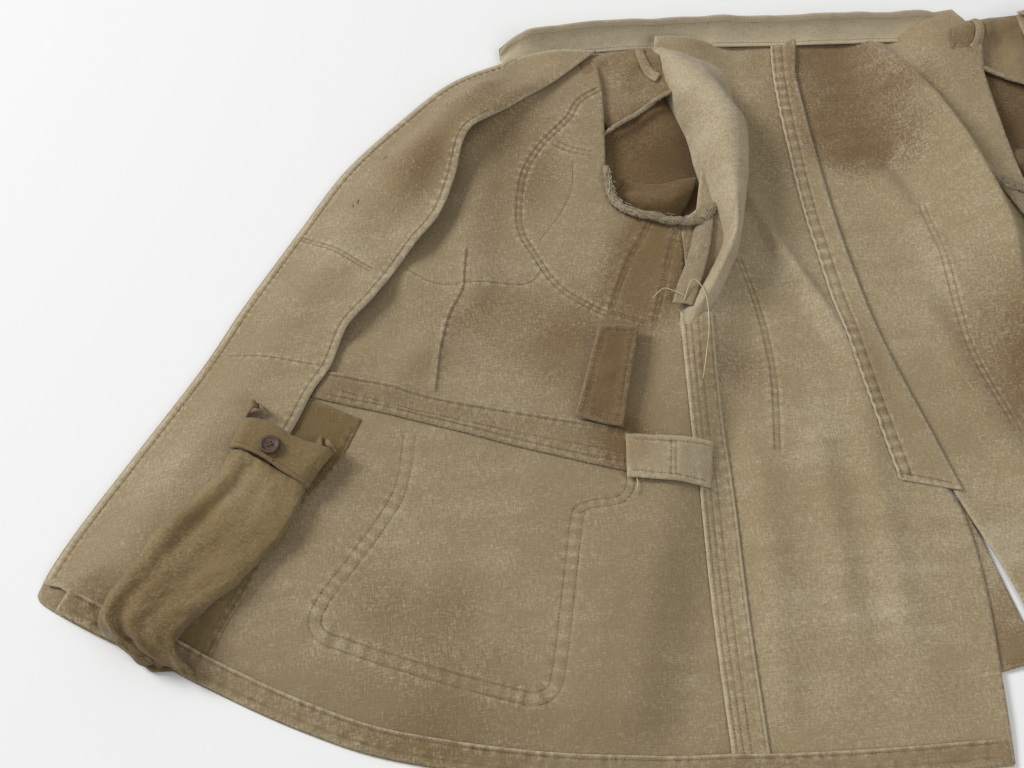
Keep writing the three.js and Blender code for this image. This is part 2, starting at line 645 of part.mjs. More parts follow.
for (const side of ["left", "right"]) {
  const half = new THREE.Group();
  half.scale.x = side === "right" ? -1 : 1;
  jacket.add(half);
  const add = (name, shape, finish = CANVAS) => piece(half, `${side}_${name}`, shape, finish);

  const ventX = side === "left" ? VENT_SPREAD : GAP;
  add("back_panel", backPanel(side === "left"));
  add("side_panel", sidePanel());
  add("side_back_seam", sideBackSeam());
  add("back_hem", hemBand(ventX + 2 * GAP, FOLD_X - GAP, 1));
  add("armhole_binding", armholeBinding(), TAPE);

  add("front_panel", frontPanel());
  add("facing", facing());
  add("waist_stay", waistStay(), CANVAS_DARK);
  add("front_hem", hemBand(FOLD_X + GAP, HALF_SPREAD - 5 * EDGE_INSET, 3));
  add("shoulder_patch", shoulderPatch());
  add("breast_pocket", breastPocket());
  add("lower_pocket", lowerPocket());

  add("pocket_gusset", pocketGusset(), CANVAS_DARK);
  add("pocket_face", pocketFace(), CANVAS_DARK);
  add("pocket_band", pocketBand(), CANVAS_DARK);
  const bandMiddle = POCKET_FROM_HEM + POCKET_LENGTH - POCKET_BAND / 2;
  const onBand = fromCorner(bandMiddle, POCKET_FROM_EDGE + POCKET_WIDTH / 2);
  const onBandTop = Math.max(...drapedRim(onBand, BUTTON_RADIUS)) + (faceLevel + 2) * LAYER;
  add("pocket_button", button(BUTTON_RADIUS, BUTTON_THICKNESS), HORN)
    .position.set(onBand.x, onBand.y, onBandTop);

  add("waist_tab", waistTab());

  add("top_sleeve", topSleeve());
  add("under_sleeve", underSleeve());
  add("cuff", cuff());
  const onCuff = onSleeve(cuffStart + CUFF_LENGTH / 2, cuffHalf - CUFF_BUTTON_INSET);
  add("cuff_button", button(CUFF_BUTTON_RADIUS, CUFF_BUTTON_THICKNESS), HORN)
    .position.set(onCuff.x, onCuff.y, cuffTop + GAP);

  if (side === "left") {
    piece(half, "centre_back_strip", centreStrip(), CANVAS);
    piece(half, "vent_underlay", ventUnderlay(), CANVAS_DARK);
    continue;
  }
  add("waist_patch", waistPatch(), CANVAS_NEW);
  const buttonLine = beside(frontEdge, -BUTTON_INSET);
  BUTTON_STATIONS.forEach((share, i) => {
    const here = buttonLine[Math.round(share * EDGE_STEPS)];
    const height = Math.min(...drapedRim(here, BUTTON_RADIUS)) - GAP - BUTTON_THICKNESS;
    add(`front_button_${i + 1}`, button(BUTTON_RADIUS, BUTTON_THICKNESS), HORN)
      .position.set(here.x, here.y, height);
  });
}

piece(jacket, "collar_stand", collarStand(), CANVAS);
piece(jacket, "collar_leaf", collarLeaf(), CANVAS);

export default jacket;
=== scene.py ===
import json
import math

import bpy
import numpy as np
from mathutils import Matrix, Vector
from mathutils.bvhtree import BVHTree
from mathutils.geometry import delaunay_2d_cdt

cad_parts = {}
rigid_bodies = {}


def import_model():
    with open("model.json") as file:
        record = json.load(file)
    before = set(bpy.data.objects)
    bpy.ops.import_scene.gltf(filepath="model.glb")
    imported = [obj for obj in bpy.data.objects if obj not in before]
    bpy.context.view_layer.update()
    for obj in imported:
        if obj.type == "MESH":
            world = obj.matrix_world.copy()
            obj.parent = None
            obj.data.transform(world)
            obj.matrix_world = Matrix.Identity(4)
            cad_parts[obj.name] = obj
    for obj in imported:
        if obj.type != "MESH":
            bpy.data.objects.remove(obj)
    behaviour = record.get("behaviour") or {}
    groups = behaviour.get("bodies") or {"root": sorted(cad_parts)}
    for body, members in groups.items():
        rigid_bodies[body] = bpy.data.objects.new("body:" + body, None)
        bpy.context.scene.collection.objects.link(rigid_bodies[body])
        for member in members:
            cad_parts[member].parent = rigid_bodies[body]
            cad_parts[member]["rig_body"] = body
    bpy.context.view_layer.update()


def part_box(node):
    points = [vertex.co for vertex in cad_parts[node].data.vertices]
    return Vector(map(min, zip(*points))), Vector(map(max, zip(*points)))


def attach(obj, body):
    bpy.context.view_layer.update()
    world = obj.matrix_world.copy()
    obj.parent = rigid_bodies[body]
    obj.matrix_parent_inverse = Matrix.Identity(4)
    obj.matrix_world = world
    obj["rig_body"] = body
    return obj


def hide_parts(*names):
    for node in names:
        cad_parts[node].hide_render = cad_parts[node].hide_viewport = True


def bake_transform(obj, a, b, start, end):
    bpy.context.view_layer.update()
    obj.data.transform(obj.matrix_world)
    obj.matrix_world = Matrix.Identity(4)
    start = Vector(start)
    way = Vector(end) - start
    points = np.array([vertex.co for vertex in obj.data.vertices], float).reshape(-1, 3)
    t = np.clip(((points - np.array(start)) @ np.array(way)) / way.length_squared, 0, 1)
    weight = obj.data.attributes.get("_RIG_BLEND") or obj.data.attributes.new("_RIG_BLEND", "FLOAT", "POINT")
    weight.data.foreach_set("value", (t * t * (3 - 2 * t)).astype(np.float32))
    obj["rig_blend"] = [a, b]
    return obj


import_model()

# A worn cotton canvas field jacket, unbuttoned, opened out and laid on its back with the inside up.
# A piece that is made for both halves is drawn on the +X half, in millimetres, and then mirrored.

MM = 0.001
MERGE = 1e-7  # places closer than this are one
HALVES = {"right": -1, "left": 1}

# ---- Sizes --------------------------------------------------------------------------------------

UNDERARM_Y = 140 * MM
SLEEVE_X = 205 * MM
SLEEVE_TURN = math.radians(20)
SLEEVE_HALF_TOP = 62 * MM
EDGE_RUN = 60 * MM  # cloth raised by a sleeve comes down to the floor over this distance
RISE_CLEARANCE = 8 * MM  # and it reaches its full height this far before the sleeve
FACING_STACK = 5.6 * MM  # front cloth, waist stay and facing, one on another
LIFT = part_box("left_facing")[1].z - FACING_STACK

CANVAS = 1.3 * MM
LAYER = 2 * MM
FOLD_LINE = 220 * MM  # each front folds over the back here
FOLD_SHARE = 9 * MM  # the cloth bends over this distance on each side of the fold
WEAVE_GRID = 3.3 * MM  # spacing of a cut piece's points
FINE_GRID = 2.6 * MM
BAND_GRID = 2.8 * MM
SEAM_GRID = 2.3 * MM
RIM_STEP = 3 * MM
STITCH_PITCH = 3.1 * MM
SMALLEST_CUT = 11 * MM
FLOOR_GAP = 0.1 * MM  # no cloth lies lower than this
ABOVE = 0.3  # rays that find the top of the cloth start this high

BROWN, PALE = "brown", "pale"


def places(*pairs):
    return np.array(pairs, float) * MM


FRONT_EDGE = places((300, 366), (358, 345), (412, 302), (469, 247), (514, 184), (544, 141), (572, 100),
                    (608, 43), (668, -39), (708, -94), (731, -130), (741, -152))
HEM = places((741, -152), (734, -163), (690, -194), (643, -222), (612, -243), (537, -288), (463, -321),
             (340, -352), (207, -368), (100, -376), (0, -380))
NECK = places((0, 351), (60, 357), (105, 362), (204, 370), (284, 370), (300, 366))


# ---- Lines --------------------------------------------------------------------------------------

def runs_of(way):
    """How far along a way each of its places lies."""
    return np.concatenate([[0], np.cumsum(np.linalg.norm(np.diff(way, axis=0), axis=1))])


def evenly(way, step=None, count=None):
    """Places spaced evenly along a way: about a step apart, or a given number of them."""
    run = runs_of(way)
    at = np.linspace(0, run[-1], count or max(round(run[-1] / step), 1) + 1)
    return np.column_stack([np.interp(at, run, way[:, k]) for k in range(way.shape[1])])


def curve(points, step=RIM_STEP):
    """Evenly spaced places along the smooth way through the points."""
    ends = np.vstack([2 * points[:1] - points[1:2], points, 2 * points[-1:] - points[-2:-1]])
    t = np.linspace(0, 1, 16, endpoint=False)[:, None]
    runs = []
    for a, b, c, d in zip(ends, ends[1:], ends[2:], ends[3:]):
        bend = 2 * a - 5 * b + 4 * c - d + t * (3 * b - a - 3 * c + d)
        runs.append(b + 0.5 * t * (c - a + t * bend))
    return evenly(np.vstack([*runs, points[-1:]]), step)


def measure(way, xy):
    """How far along a way each place lies, and how far to its left."""
    least = np.full(len(xy), np.inf)
    along, beside = np.zeros(len(xy)), np.zeros(len(xy))
    start = 0.0
    for a, b in zip(way, way[1:]):
        run = b - a
        length = math.hypot(*run)
        off = xy - a
        share = np.clip(off @ run / length ** 2, 0, 1)
        across = run[0] * off[:, 1] - run[1] * off[:, 0]
        off = off - share[:, None] * run
        away = np.hypot(off[:, 0], off[:, 1])
        near = away < least
        least[near] = away[near]
        along[near] = start + share[near] * length
        beside[near] = np.where(across[near] < 0, -away[near], away[near])
        start += length
    return along, beside


def length_of(way):
    return float(np.linalg.norm(np.diff(way, axis=0), axis=1).sum())


def near_zero(value, width):
    """1 at nothing, falling off softly over a width."""
    return np.exp(-(value / width) ** 2)


def shift(way, offset):
    """The way moved to its left."""
    run = np.gradient(way, axis=0)
    run /= np.linalg.norm(run, axis=1)[:, None]
    return way + offset * np.column_stack([-run[:, 1], run[:, 0]])


def smooth(low, high, value):
    t = np.clip((value - low) / (high - low), 0, 1)
    return t * t * (3 - 2 * t)


def within(ring, xy):
    """Which places lie inside a closed ring."""
    hit = np.zeros(len(xy), bool)
    for a, b in zip(ring, np.roll(ring, -1, axis=0)):
        crosses = (a[1] > xy[:, 1]) != (b[1] > xy[:, 1])
        rise = b[1] - a[1] if b[1] != a[1] else 1.0
        hit ^= crosses & (xy[:, 0] < (b[0] - a[0]) * (xy[:, 1] - a[1]) / rise + a[0])
    return hit


RIPPLE_NET = 101  # knots of the random net, which repeats beyond them
RIPPLE_GAIN = 1.4  # the net's usual values are small, so they are raised to fill -1 to 1


def ripple(xy, size, seed, octaves=2):
    """Smooth random values between -1 and 1 whose features are about size across."""
    value, weight, total = np.zeros(len(xy)), 1.0, 0.0
    for k in range(octaves):
        grid = np.random.default_rng(seed + k).uniform(-1, 1, (RIPPLE_NET, RIPPLE_NET))
        place = xy * (2 ** k / size) + 37.3
        cell = np.floor(place).astype(int)
        u, v = ((place - cell) ** 2 * (3 - 2 * (place - cell))).T
        i, j = (cell % RIPPLE_NET).T
        i2, j2 = (i + 1) % RIPPLE_NET, (j + 1) % RIPPLE_NET
        low = grid[i, j] * (1 - u) + grid[i2, j] * u
        high = grid[i, j2] * (1 - u) + grid[i2, j2] * u
        value += weight * (low * (1 - v) + high * v)
        total += weight
        weight *= 0.5
    return value / total * RIPPLE_GAIN


# ---- How the jacket lies ------------------------------------------------------------------------

BORDER = np.vstack([curve(FRONT_EDGE, 12 * MM), curve(HEM, 12 * MM)[1:]])

# Soft folds that every layer of cloth follows: half, way, width and height.
FOLDS = [
    ("right", ((300, 352), (352, 300), (395, 235), (430, 160)), 26, 9),
    ("right", ((262, 330), (330, 268), (372, 206)), 15, 5),
    ("right", ((330, 250), (360, 150), (352, 60)), 22, 4),
    ("right", ((520, 40), (450, 30), (350, 20)), 16, 2.5),
    ("right", ((470, -30), (400, 40), (330, 110)), 18, 3),
    ("right", ((640, -60), (560, -30), (470, 10)), 16, 2),
    ("right", ((600, -150), (480, -190), (380, -200)), 26, 2.5),
    ("right", ((250, -140), (300, -230), (330, -330)), 30, 2.5),
    ("right", ((108, 196), (92, 150), (72, 90), (54, 40), (40, -20)), 8, 6),
    ("right", ((84, -60), (92, -160), (100, -300)), 14, 3),
    ("right", ((30, 60), (45, -120), (60, -300)), 14, 3),
    ("right", ((140, -60), (150, -200), (170, -340)), 15, 3),
    ("left", ((20, 210), (60, 110), (95, -30)), 16, 5),
    ("left", ((30, 60), (60, -60), (110, -260)), 15, 4),
    ("left", ((120, 20), (135, -120), (150, -330)), 18, 5),
    ("left", ((180, 0), (190, -120), (200, -300)), 18, 5),
    ("left", ((300, 352), (352, 300), (395, 235), (430, 160)), 26, 8),
    ("left", ((470, -30), (400, 40), (330, 110)), 18, 3),
    ("left", ((600, -150), (480, -190), (380, -200)), 26, 3),
]
FOLD_GAIN = 1.45
FOLD_WAYS = [(HALVES[half], curve(places(*way), 14 * MM), width * MM, height * FOLD_GAIN * MM)
             for half, way, width, height in FOLDS]


def ground(xy):
    """Height of the underside of the main cloth where nothing wrinkles it."""
    x, y = np.abs(xy[:, 0]), xy[:, 1]
    down = np.maximum(UNDERARM_Y - y, 0)
    inner = SLEEVE_X - SLEEVE_HALF_TOP / math.cos(SLEEVE_TURN) + down * math.tan(SLEEVE_TURN)
    foot = inner - RISE_CLEARANCE - EDGE_RUN
    inset = np.maximum(-measure(BORDER, np.column_stack([x, y]))[1], 0)
    return LIFT * smooth(foot, foot + EDGE_RUN, x) * smooth(0, EDGE_RUN, inset), inset


def drape(xy):
    """Height of the underside of the main cloth, folds and wrinkles included, where the cloth really lies."""
    height, inset = ground(xy)
    free = smooth(2 * MM, 45 * MM, inset)
    height = height + free * 1.4 * MM * (1 + ripple(xy, 75 * MM, 5))
    height += smooth(0, 25 * MM, inset) * 0.6 * MM * (1 + ripple(xy * (1.0, 0.6), 34 * MM, 11, 3))
    for side, way, width, rise in FOLD_WAYS:
        x, margin = xy[:, 0] * side, 3 * width
        box = (x > way[:, 0].min() - margin) & (x < way[:, 0].max() + margin)
        along, beside = measure(way, xy[box] * (side, 1))
        taper = smooth(0, 50 * MM, along) * smooth(0, 50 * MM, length_of(way) - along)
        height[box] += free[box] * rise * taper * near_zero(beside, width)
    return height


SEAM_STEP = 4 * MM


class Seam:
    """Rows of stitching along a way, with the dents, puckers and dirt that they make in the cloth."""

    def __init__(self, *points, rows=(0,), pucker=0.35, pitch=9, sunk=0.5, raised=0, wear=0.6,
                 thread=True, way=None):
        self.way = curve(places(*points), SEAM_STEP) if way is None else way
        self.rows = [row * MM for row in rows]
        self.low, self.high = min(self.rows), max(self.rows)
        self.pucker, self.pitch, self.sunk, self.raised = pucker * MM, pitch * MM, sunk * MM, raised * MM
        self.wear, self.thread = wear, thread

    def offsets(self):
        """Where the cloth's points follow the seam, so that its dents are crisp."""
        near = sorted({round(row + k, 6) for row in self.rows for k in (-1.7 * MM, 0, 1.7 * MM)})
        middle = (self.low + self.high) / 2
        return near + ([middle] if self.high - self.low > 5 * MM else [])

    def press(self, xy, seed):
        """The change in height and in wear that the seam makes."""
        along, beside = measure(self.way, xy)
        ends = smooth(-1 * MM, 3 * MM, along) * smooth(-1 * MM, 3 * MM, length_of(self.way) - along)
        groove = np.max([near_zero(beside - row, 1.1 * MM) for row in self.rows], axis=0)
        outside = np.maximum(np.maximum(beside - self.high, self.low - beside), 0)
        near = near_zero(outside, 3.2 * MM)
        wobble = ripple(np.column_stack([along, np.full(len(along), seed * 0.01)]), 26 * MM, seed, 1)
        wave = np.sin(2 * math.pi * along / self.pitch + 3.2 * wobble)
        ladder = near * wave * (1 + 0.5 * wobble)
        hump = self.raised * near_zero(beside - self.high - 1.2 * MM, 1.9 * MM)
        height = ends * (self.pucker * ladder + hump - self.sunk * groove)
        shoulder = near_zero(outside - 1.9 * MM, 1.5 * MM)
        rubbed = 0.5 * np.maximum(ladder, -0.5) + 0.35 * shoulder + 0.12 * near - 0.95 * groove
        return height, ends * self.wear * rubbed


# ---- Finishes -----------------------------------------------------------------------------------

def paint(red, green, blue):
    """A colour as a dyer's card gives it, 0 to 255, in linear light."""
    return tuple(((c / 255 + 0.055) / 1.055) ** 2.4 for c in (red, green, blue)) + (1.0,)


class Value:
    """A shader number: sums on it add Math nodes."""

    def __init__(self, finish, socket):
        self.finish, self.socket = finish, socket

    def _math(self, operation, *terms):
        return self.finish.node("ShaderNodeMath", {"operation": operation}, dict(enumerate(terms)))

    def __add__(self, other): return self._math("ADD", self, other)
    def __radd__(self, other): return self._math("ADD", other, self)
    def __sub__(self, other): return self._math("SUBTRACT", self, other)
    def __rsub__(self, other): return self._math("SUBTRACT", other, self)
    def __mul__(self, other): return self._math("MULTIPLY", self, other)
    def __rmul__(self, other): return self._math("MULTIPLY", other, self)
    def __pow__(self, other): return self._math("POWER", self, other)

    def between(self, low, high):
        """0 below low, 1 above high, and smooth between them."""
        return self.finish.node("ShaderNodeMapRange", {"interpolation_type": "SMOOTHSTEP"},
                                {"Value": self, "From Min": low, "From Max": high})


class Finish:
    """A material and its nodes."""

    def __init__(self, name):
        self.material = bpy.data.materials.new(name)
        self.material.use_nodes = True
        self.tree = self.material.node_tree
        self.surface = self.tree.nodes["Principled BSDF"]

    def put(self, socket, value):
        if isinstance(value, Value):
            self.tree.links.new(value.socket, socket)
        else:
            socket.default_value = value

    def node(self, kind, settings=None, values=None, output=0):
        made = self.tree.nodes.new(kind)
        for name, value in (settings or {}).items():
            setattr(made, name, value)
        for name, value in (values or {}).items():
            self.put(made.inputs[name], value)
        return Value(self, made.outputs[output])

    def cloth_place(self, stretch_u=1.0, stretch_v=1.0):
        """Place on the flat cloth in metres, squeezed along its warp and weft."""
        flat = self.node("ShaderNodeUVMap", {"uv_map": "cut"})
        return self.node("ShaderNodeMapping", {}, {"Vector": flat, "Scale": (stretch_u, stretch_v, 1.0)})

    def place(self):
        return self.node("ShaderNodeTexCoord", output=3)

    def noise(self, place, scale, detail=2.0, rough=0.55):
        return self.node("ShaderNodeTexNoise", {}, {"Vector": place, "Scale": scale, "Detail": detail,
                                                    "Roughness": rough})

    def attribute(self, name):
        return self.node("ShaderNodeAttribute", {"attribute_name": name}, output=2)

    def mix(self, share, below, above):
        return self.node("ShaderNodeMix", {"data_type": "RGBA"}, {0: share, 6: below, 7: above}, output=2)

    def bump(self, height, distance, strength=1.0, under=None):
        values = {"Height": height, "Distance": distance, "Strength": strength}
        return self.node("ShaderNodeBump", {}, values | ({"Normal": under} if under else {}))

    def finish(self, **values):
        for name, value in values.items():
            self.put(self.surface.inputs[name.replace("_", " ")], value)
        return self.material


def canvas(name, cloth, brown, pale, dirt, fuzz=1.0):
    """Worn cotton canvas: slubbed yarns, brown stains and painted shade, bleached rubbed places and painted
    highlights, and dirt along the seams.
    """
    made = Finish(name)
    flat = made.cloth_place()
    weft = made.noise(made.cloth_place(130, 1500), 1.0, 2.0)
    warp = made.noise(made.cloth_place(1350, 110), 1.0, 2.0)
    yarn = weft * 0.5 + warp * 0.5
    slub = (made.noise(made.cloth_place(120, 900), 1.0, 3.0, 0.6) * 0.5
            + made.noise(made.cloth_place(800, 110), 1.0, 3.0, 0.6) * 0.5)
    cloud = made.noise(flat, 6.0, 3.0, 0.55)
    streak = made.noise(made.cloth_place(9, 70), 1.0, 3.0, 0.6)
    mottle = made.noise(flat, 34.0, 4.0, 0.65)
    speck = made.noise(flat, 420.0, 2.0, 0.7)
    # The brown attribute holds stains and, in places, painted shade; the pale attribute holds rubbed places
    # and, on the armhole fold, a painted highlight.
    stain_and_shade = made.attribute(BROWN)
    rub_and_highlight = made.attribute(PALE)
    shade = cloud * 0.9 - 0.25 + stain_and_shade * 0.9 + (mottle - 0.5) * 0.25 + (streak - 0.5) * 0.5
    shade = shade.between(0.18, 0.95)
    colour = made.mix(shade, cloth, brown)
    uneven = ((mottle - 0.5) * 0.5 + (streak - 0.5) * 0.6 + (slub - 0.5) * 1.9 + (speck - 0.5) * 1.2
              + (yarn - 0.5) * 0.9)
    light = (rub_and_highlight * 0.9 + uneven + (1 - cloud) * 0.3 - 0.02).between(-0.05, 1.05)
    colour = made.mix(light * (1 - stain_and_shade.between(0.2, 1.5) * 0.7), colour, pale)
    fleck = speck.between(0.66, 0.8) * (rub_and_highlight * 0.5 + 0.25)
    colour = made.mix(fleck * 0.5, colour, pale)
    colour = made.mix((0 - rub_and_highlight).between(0.05, 1.1) * 0.85, colour, dirt)
    grain = (yarn - 0.5) * 1.5 + (speck - 0.5) * 0.35 + 0.5
    colour = made.mix((1 - grain.between(0.0, 1.0)) * 0.26, colour, dirt)
    crumple = made.noise(flat, 120.0, 3.0, 0.6)
    normal = made.bump(crumple, 1.6 * MM, 0.45)
    normal = made.bump(slub, 0.9 * MM, 0.5, normal)
    normal = made.bump(yarn, 0.5 * MM, 0.6 * fuzz, normal)
    return made.finish(Base_Color=colour, Roughness=0.86 + mottle * 0.12, Normal=normal,
                       Sheen_Weight=0.12, Sheen_Roughness=0.5, Specular_IOR_Level=0.25)


# Each cloth's own colour, then its brown shade (for stains and painted shade), its bleached shade (for rubbed
# places and painted highlights) and its dirt.
KHAKI = canvas("khaki_canvas", paint(142, 125, 95), paint(114, 92, 59), paint(178, 165, 138),
               paint(92, 74, 48))
# The back's brown colour also paints shade on the left half's large fold and over the armhole, and its pale
# colour paints a highlight on the armhole fold.
BACK_KHAKI = canvas("back_canvas", paint(148, 131, 99), paint(110, 88, 57), paint(184, 171, 144),
                    paint(90, 71, 45))
OLIVE = canvas("pocket_canvas", paint(124, 105, 70), paint(98, 76, 44), paint(152, 136, 102),
               paint(66, 52, 30))
STAY = canvas("stay_canvas", paint(128, 111, 82), paint(108, 86, 56), paint(166, 152, 124),
              paint(80, 62, 38))
SLEEVE = canvas("sleeve_canvas", paint(104, 82, 50), paint(82, 61, 34), paint(132, 112, 80),
                paint(44, 29, 13))
MEND = canvas("mending_canvas", paint(162, 148, 121), paint(146, 128, 98), paint(190, 178, 152),
              paint(100, 82, 56))
TAPE = canvas("binding_tape", paint(142, 127, 99), paint(116, 99, 70), paint(176, 163, 138),
              paint(78, 62, 40), fuzz=1.6)


def yarn_finish(name, thread, worn):
    """Cotton sewing thread, paler where it is rubbed."""
    made = Finish(name)
    patchy = made.noise(made.place(), 60.0, 3.0).between(0.35, 0.7)
    twist = made.noise(made.place(), 1800.0, 1.0)
    normal = made.bump(twist, 0.2 * MM)
    return made.finish(Base_Color=made.mix(patchy, thread, worn), Roughness=0.75 + twist * 0.15,
                       Normal=normal, Sheen_Weight=0.2)


THREAD = yarn_finish("khaki_thread", paint(104, 84, 54), paint(160, 144, 112))
PALE_THREAD = yarn_finish("pale_thread", paint(176, 160, 122), paint(205, 192, 160))
TAPE_THREAD = yarn_finish("tape_thread", paint(140, 126, 100), paint(186, 174, 150))
BROWN_THREAD = yarn_finish("brown_thread", paint(92, 56, 36), paint(122, 82, 56))


def horn_finish():
    """Dyed horn: dark brown streaks, a worn dull shine and dust in the dish."""
    made = Finish("horn_button")
    streak = made.noise(made.place(), 260.0, 5.0, 0.7)
    smear = made.noise(made.place(), 900.0, 2.0)
    colour = made.mix(streak.between(0.3, 0.7), paint(44, 31, 19), paint(82, 60, 40))
    colour = made.mix(smear.between(0.62, 0.75) * 0.4, colour, paint(150, 130, 108))
    return made.finish(Base_Color=colour, Roughness=0.5 + smear * 0.2, Normal=made.bump(smear, 0.1 * MM, 0.5))


HORN = horn_finish()

# ---- Where the cloth is browned or bleached, and where painted shade darkens it ---------------------

# Middle x and y, radius and strength of each mark, on both halves or on one.
MARKS = {
    ("both", BROWN): [
        (404, 215, 42, 0.45), (330, 318, 50, 0.4), (388, 55, 46, 0.35), (330, 62, 60, 0.35),
        (280, 20, 46, 0.35), (252, -82, 26, 1.3), (218, 66, 32, 1.5), (200, 108, 32, 1.7),
        (300, 215, 50, 0.4), (470, -200, 60, 0.35), (690, -160, 30, 0.4), (400, -290, 60, 0.35),
        (180, 300, 60, 0.5),
    ],
    ("right", BROWN): [
        (45, 240, 70, 0.5), (60, 330, 60, 0.3), (140, -10, 34, 0.35),
    ],
    # On the left half the first five brown marks paint shade on the inner slope of the large fold, over its
    # brown stain.
    ("left", BROWN): [
        (44, 300, 62, 0.8), (30, 255, 55, 0.6), (14, 210, 40, 0.6), (52, 215, 26, 0.5), (22, 335, 34, 0.7),
        (105, 40, 50, 0.6), (130, -60, 70, 0.7),
    ],
    ("both", PALE): [
        (440, -120, 70, 0.2), (330, -40, 55, 0.2), (250, 100, 30, 0.2), (470, 150, 40, 0.2),
        (640, -60, 40, 0.2),
    ],
    ("right", PALE): [
        (52, 40, 30, 0.35), (76, -80, 34, 0.35), (66, -230, 40, 0.3), (150, -230, 34, 0.25),
        (80, 90, 22, 0.5),
    ],
    ("left", PALE): [
        (66, 60, 36, 0.3), (40, -200, 40, 0.3), (90, -300, 36, 0.3), (58, 205, 8, 0.5), (48, 190, 7, 0.5),
    ],
}


def soiling_and_shade(half_xy, half, kind):
    """How brown or how bleached the cloth is at places on the +X half. Some brown marks are painted shade."""
    total = np.zeros(len(half_xy))
    for x, y, radius, strength in MARKS["both", kind] + MARKS[half, kind]:
        away = np.hypot(half_xy[:, 0] - x * MM, half_xy[:, 1] - y * MM)
        total += strength * near_zero(away, radius * MM)
    return total * (1 + 0.4 * ripple(half_xy, 60 * MM, 300 if kind == BROWN else 320, 3))


# ---- Making pieces ------------------------------------------------------------------------------

SURFACES = {}  # what rays find of each piece, by its name
STITCHES = {}  # pairs of ends, by the name of the piece and the thread


def mesh_piece(name, verts, faces, finish, uv=None, values=None):
    """A smooth mesh in the scene, with its flat layout and its values at each point."""
    mesh = bpy.data.meshes.new(name)
    mesh.from_pydata(verts.tolist(), [], faces)
    mesh.materials.append(finish)
    mesh.polygons.foreach_set("use_smooth", np.ones(len(mesh.polygons), bool))
    if uv is not None:
        corner = np.empty(len(mesh.loops), np.int32)
        mesh.loops.foreach_get("vertex_index", corner)
        layer = mesh.uv_layers.new(name="cut")
        layer.data.foreach_set("uv", uv[corner].astype(np.float32).ravel())
    for key, value in (values or {}).items():
        mesh.attributes.new(key, "FLOAT", "POINT").data.foreach_set("value", value.astype(np.float32))
    mesh.update()
    piece = bpy.data.objects.new(name, mesh)
    bpy.context.scene.collection.objects.link(piece)
    return piece


def thicken(piece, thickness, offset=-1.0):
    """The surface made into cloth of a thickness, none of it below the floor."""
    solid = piece.modifiers.new("cloth", "SOLIDIFY")
    solid.thickness = thickness
    solid.offset = offset
    solid.use_even_offset = False
    bpy.context.view_layer.objects.active = piece
    bpy.ops.object.modifier_apply(modifier=solid.name)
    for vertex in piece.data.vertices:
        vertex.co.z = max(vertex.co.z, FLOOR_GAP)
    return piece


def found_from_above(name, x, y):
    """The top of a piece at a place, or None beside it."""
    return SURFACES[name].ray_cast(Vector((x, y, ABOVE)), Vector((0, 0, -1)))[0]


def lattice(ring, seams, grid):
    """Places inside a ring: on a net of triangles, and in rows along each seam."""
    low, high = ring.min(axis=0), ring.max(axis=0)
    net = []
    for k, y in enumerate(np.arange(low[1], high[1], grid * math.sqrt(3) / 2)):
        x = np.arange(low[0] + (k % 2) * grid / 2, high[0], grid)
        net.append(np.column_stack([x, np.full(len(x), y)]))
    net = np.vstack(net)
    extra = []
    for seam in seams:
        beside = measure(seam.way, net)[1]
        near = np.abs(beside - sum(seam.rows) / len(seam.rows)) < seam.high - seam.low + 5 * MM
        tight = np.zeros(len(net), bool)
        for offset in seam.offsets():
            tight |= np.abs(beside - offset) < 0.6 * grid
        net = net[~(tight & near)]
        extra += [shift(evenly(seam.way, SEAM_GRID), offset) for offset in seam.offsets()]
    inner = np.vstack([net, *extra]) if extra else net
    inner = inner[within(ring, inner)]
    away = from_rim(ring, inner)
    inner = inner[away > 0.55 * SEAM_GRID]
    key = np.round(inner / (0.9 * MM)).astype(int)
    return inner[np.unique(key, axis=0, return_index=True)[1]]


def triangles(ring, seams, grid):
    """The flat cloth inside a ring as places and triangles."""
    points = [Vector(place) for place in np.vstack([ring, lattice(ring, seams, grid)])]
    count = len(ring)
    edges = [(k, (k + 1) % count) for k in range(count)]
    verts, _, faces = delaunay_2d_cdt(points, edges, [], 1, MERGE)[:3]
    return np.array([tuple(v) for v in verts]), [tuple(f) for f in faces]


def closed(ring):
    return np.vstack([ring, ring[:1]])


def from_rim(ring, xy):
    """How far each place is from a ring."""
    return np.abs(measure(closed(ring), xy)[1])


def ring_of(*ways):
    """One closed ring through several ways in turn."""
    joined = np.vstack(ways)
    apart = np.linalg.norm(np.diff(joined, axis=0), axis=1) > 0.4 * MM
    return evenly(closed(joined[np.concatenate([[True], apart])]), RIM_STEP)[:-1]


def corners(*points):
    """A ring of straight sides between corners."""
    ends = places(*points, points[0])
    return np.vstack([evenly(np.array([a, b]), RIM_STEP)[:-1] for a, b in zip(ends, ends[1:])])


def cut_size(ring, area):
    """Width, length and area of a cut piece: its box, or for a narrow band the strip that it was cut as."""
    width, length = ring.max(axis=0) - ring.min(axis=0)
    if area < 0.4 * width * length:
        half_round = length_of(closed(ring)) / 2
        spread = math.sqrt(half_round ** 2 / 4 - area)
        width, length = half_round / 2 - spread, half_round / 2 + spread
    return [width, length, area]


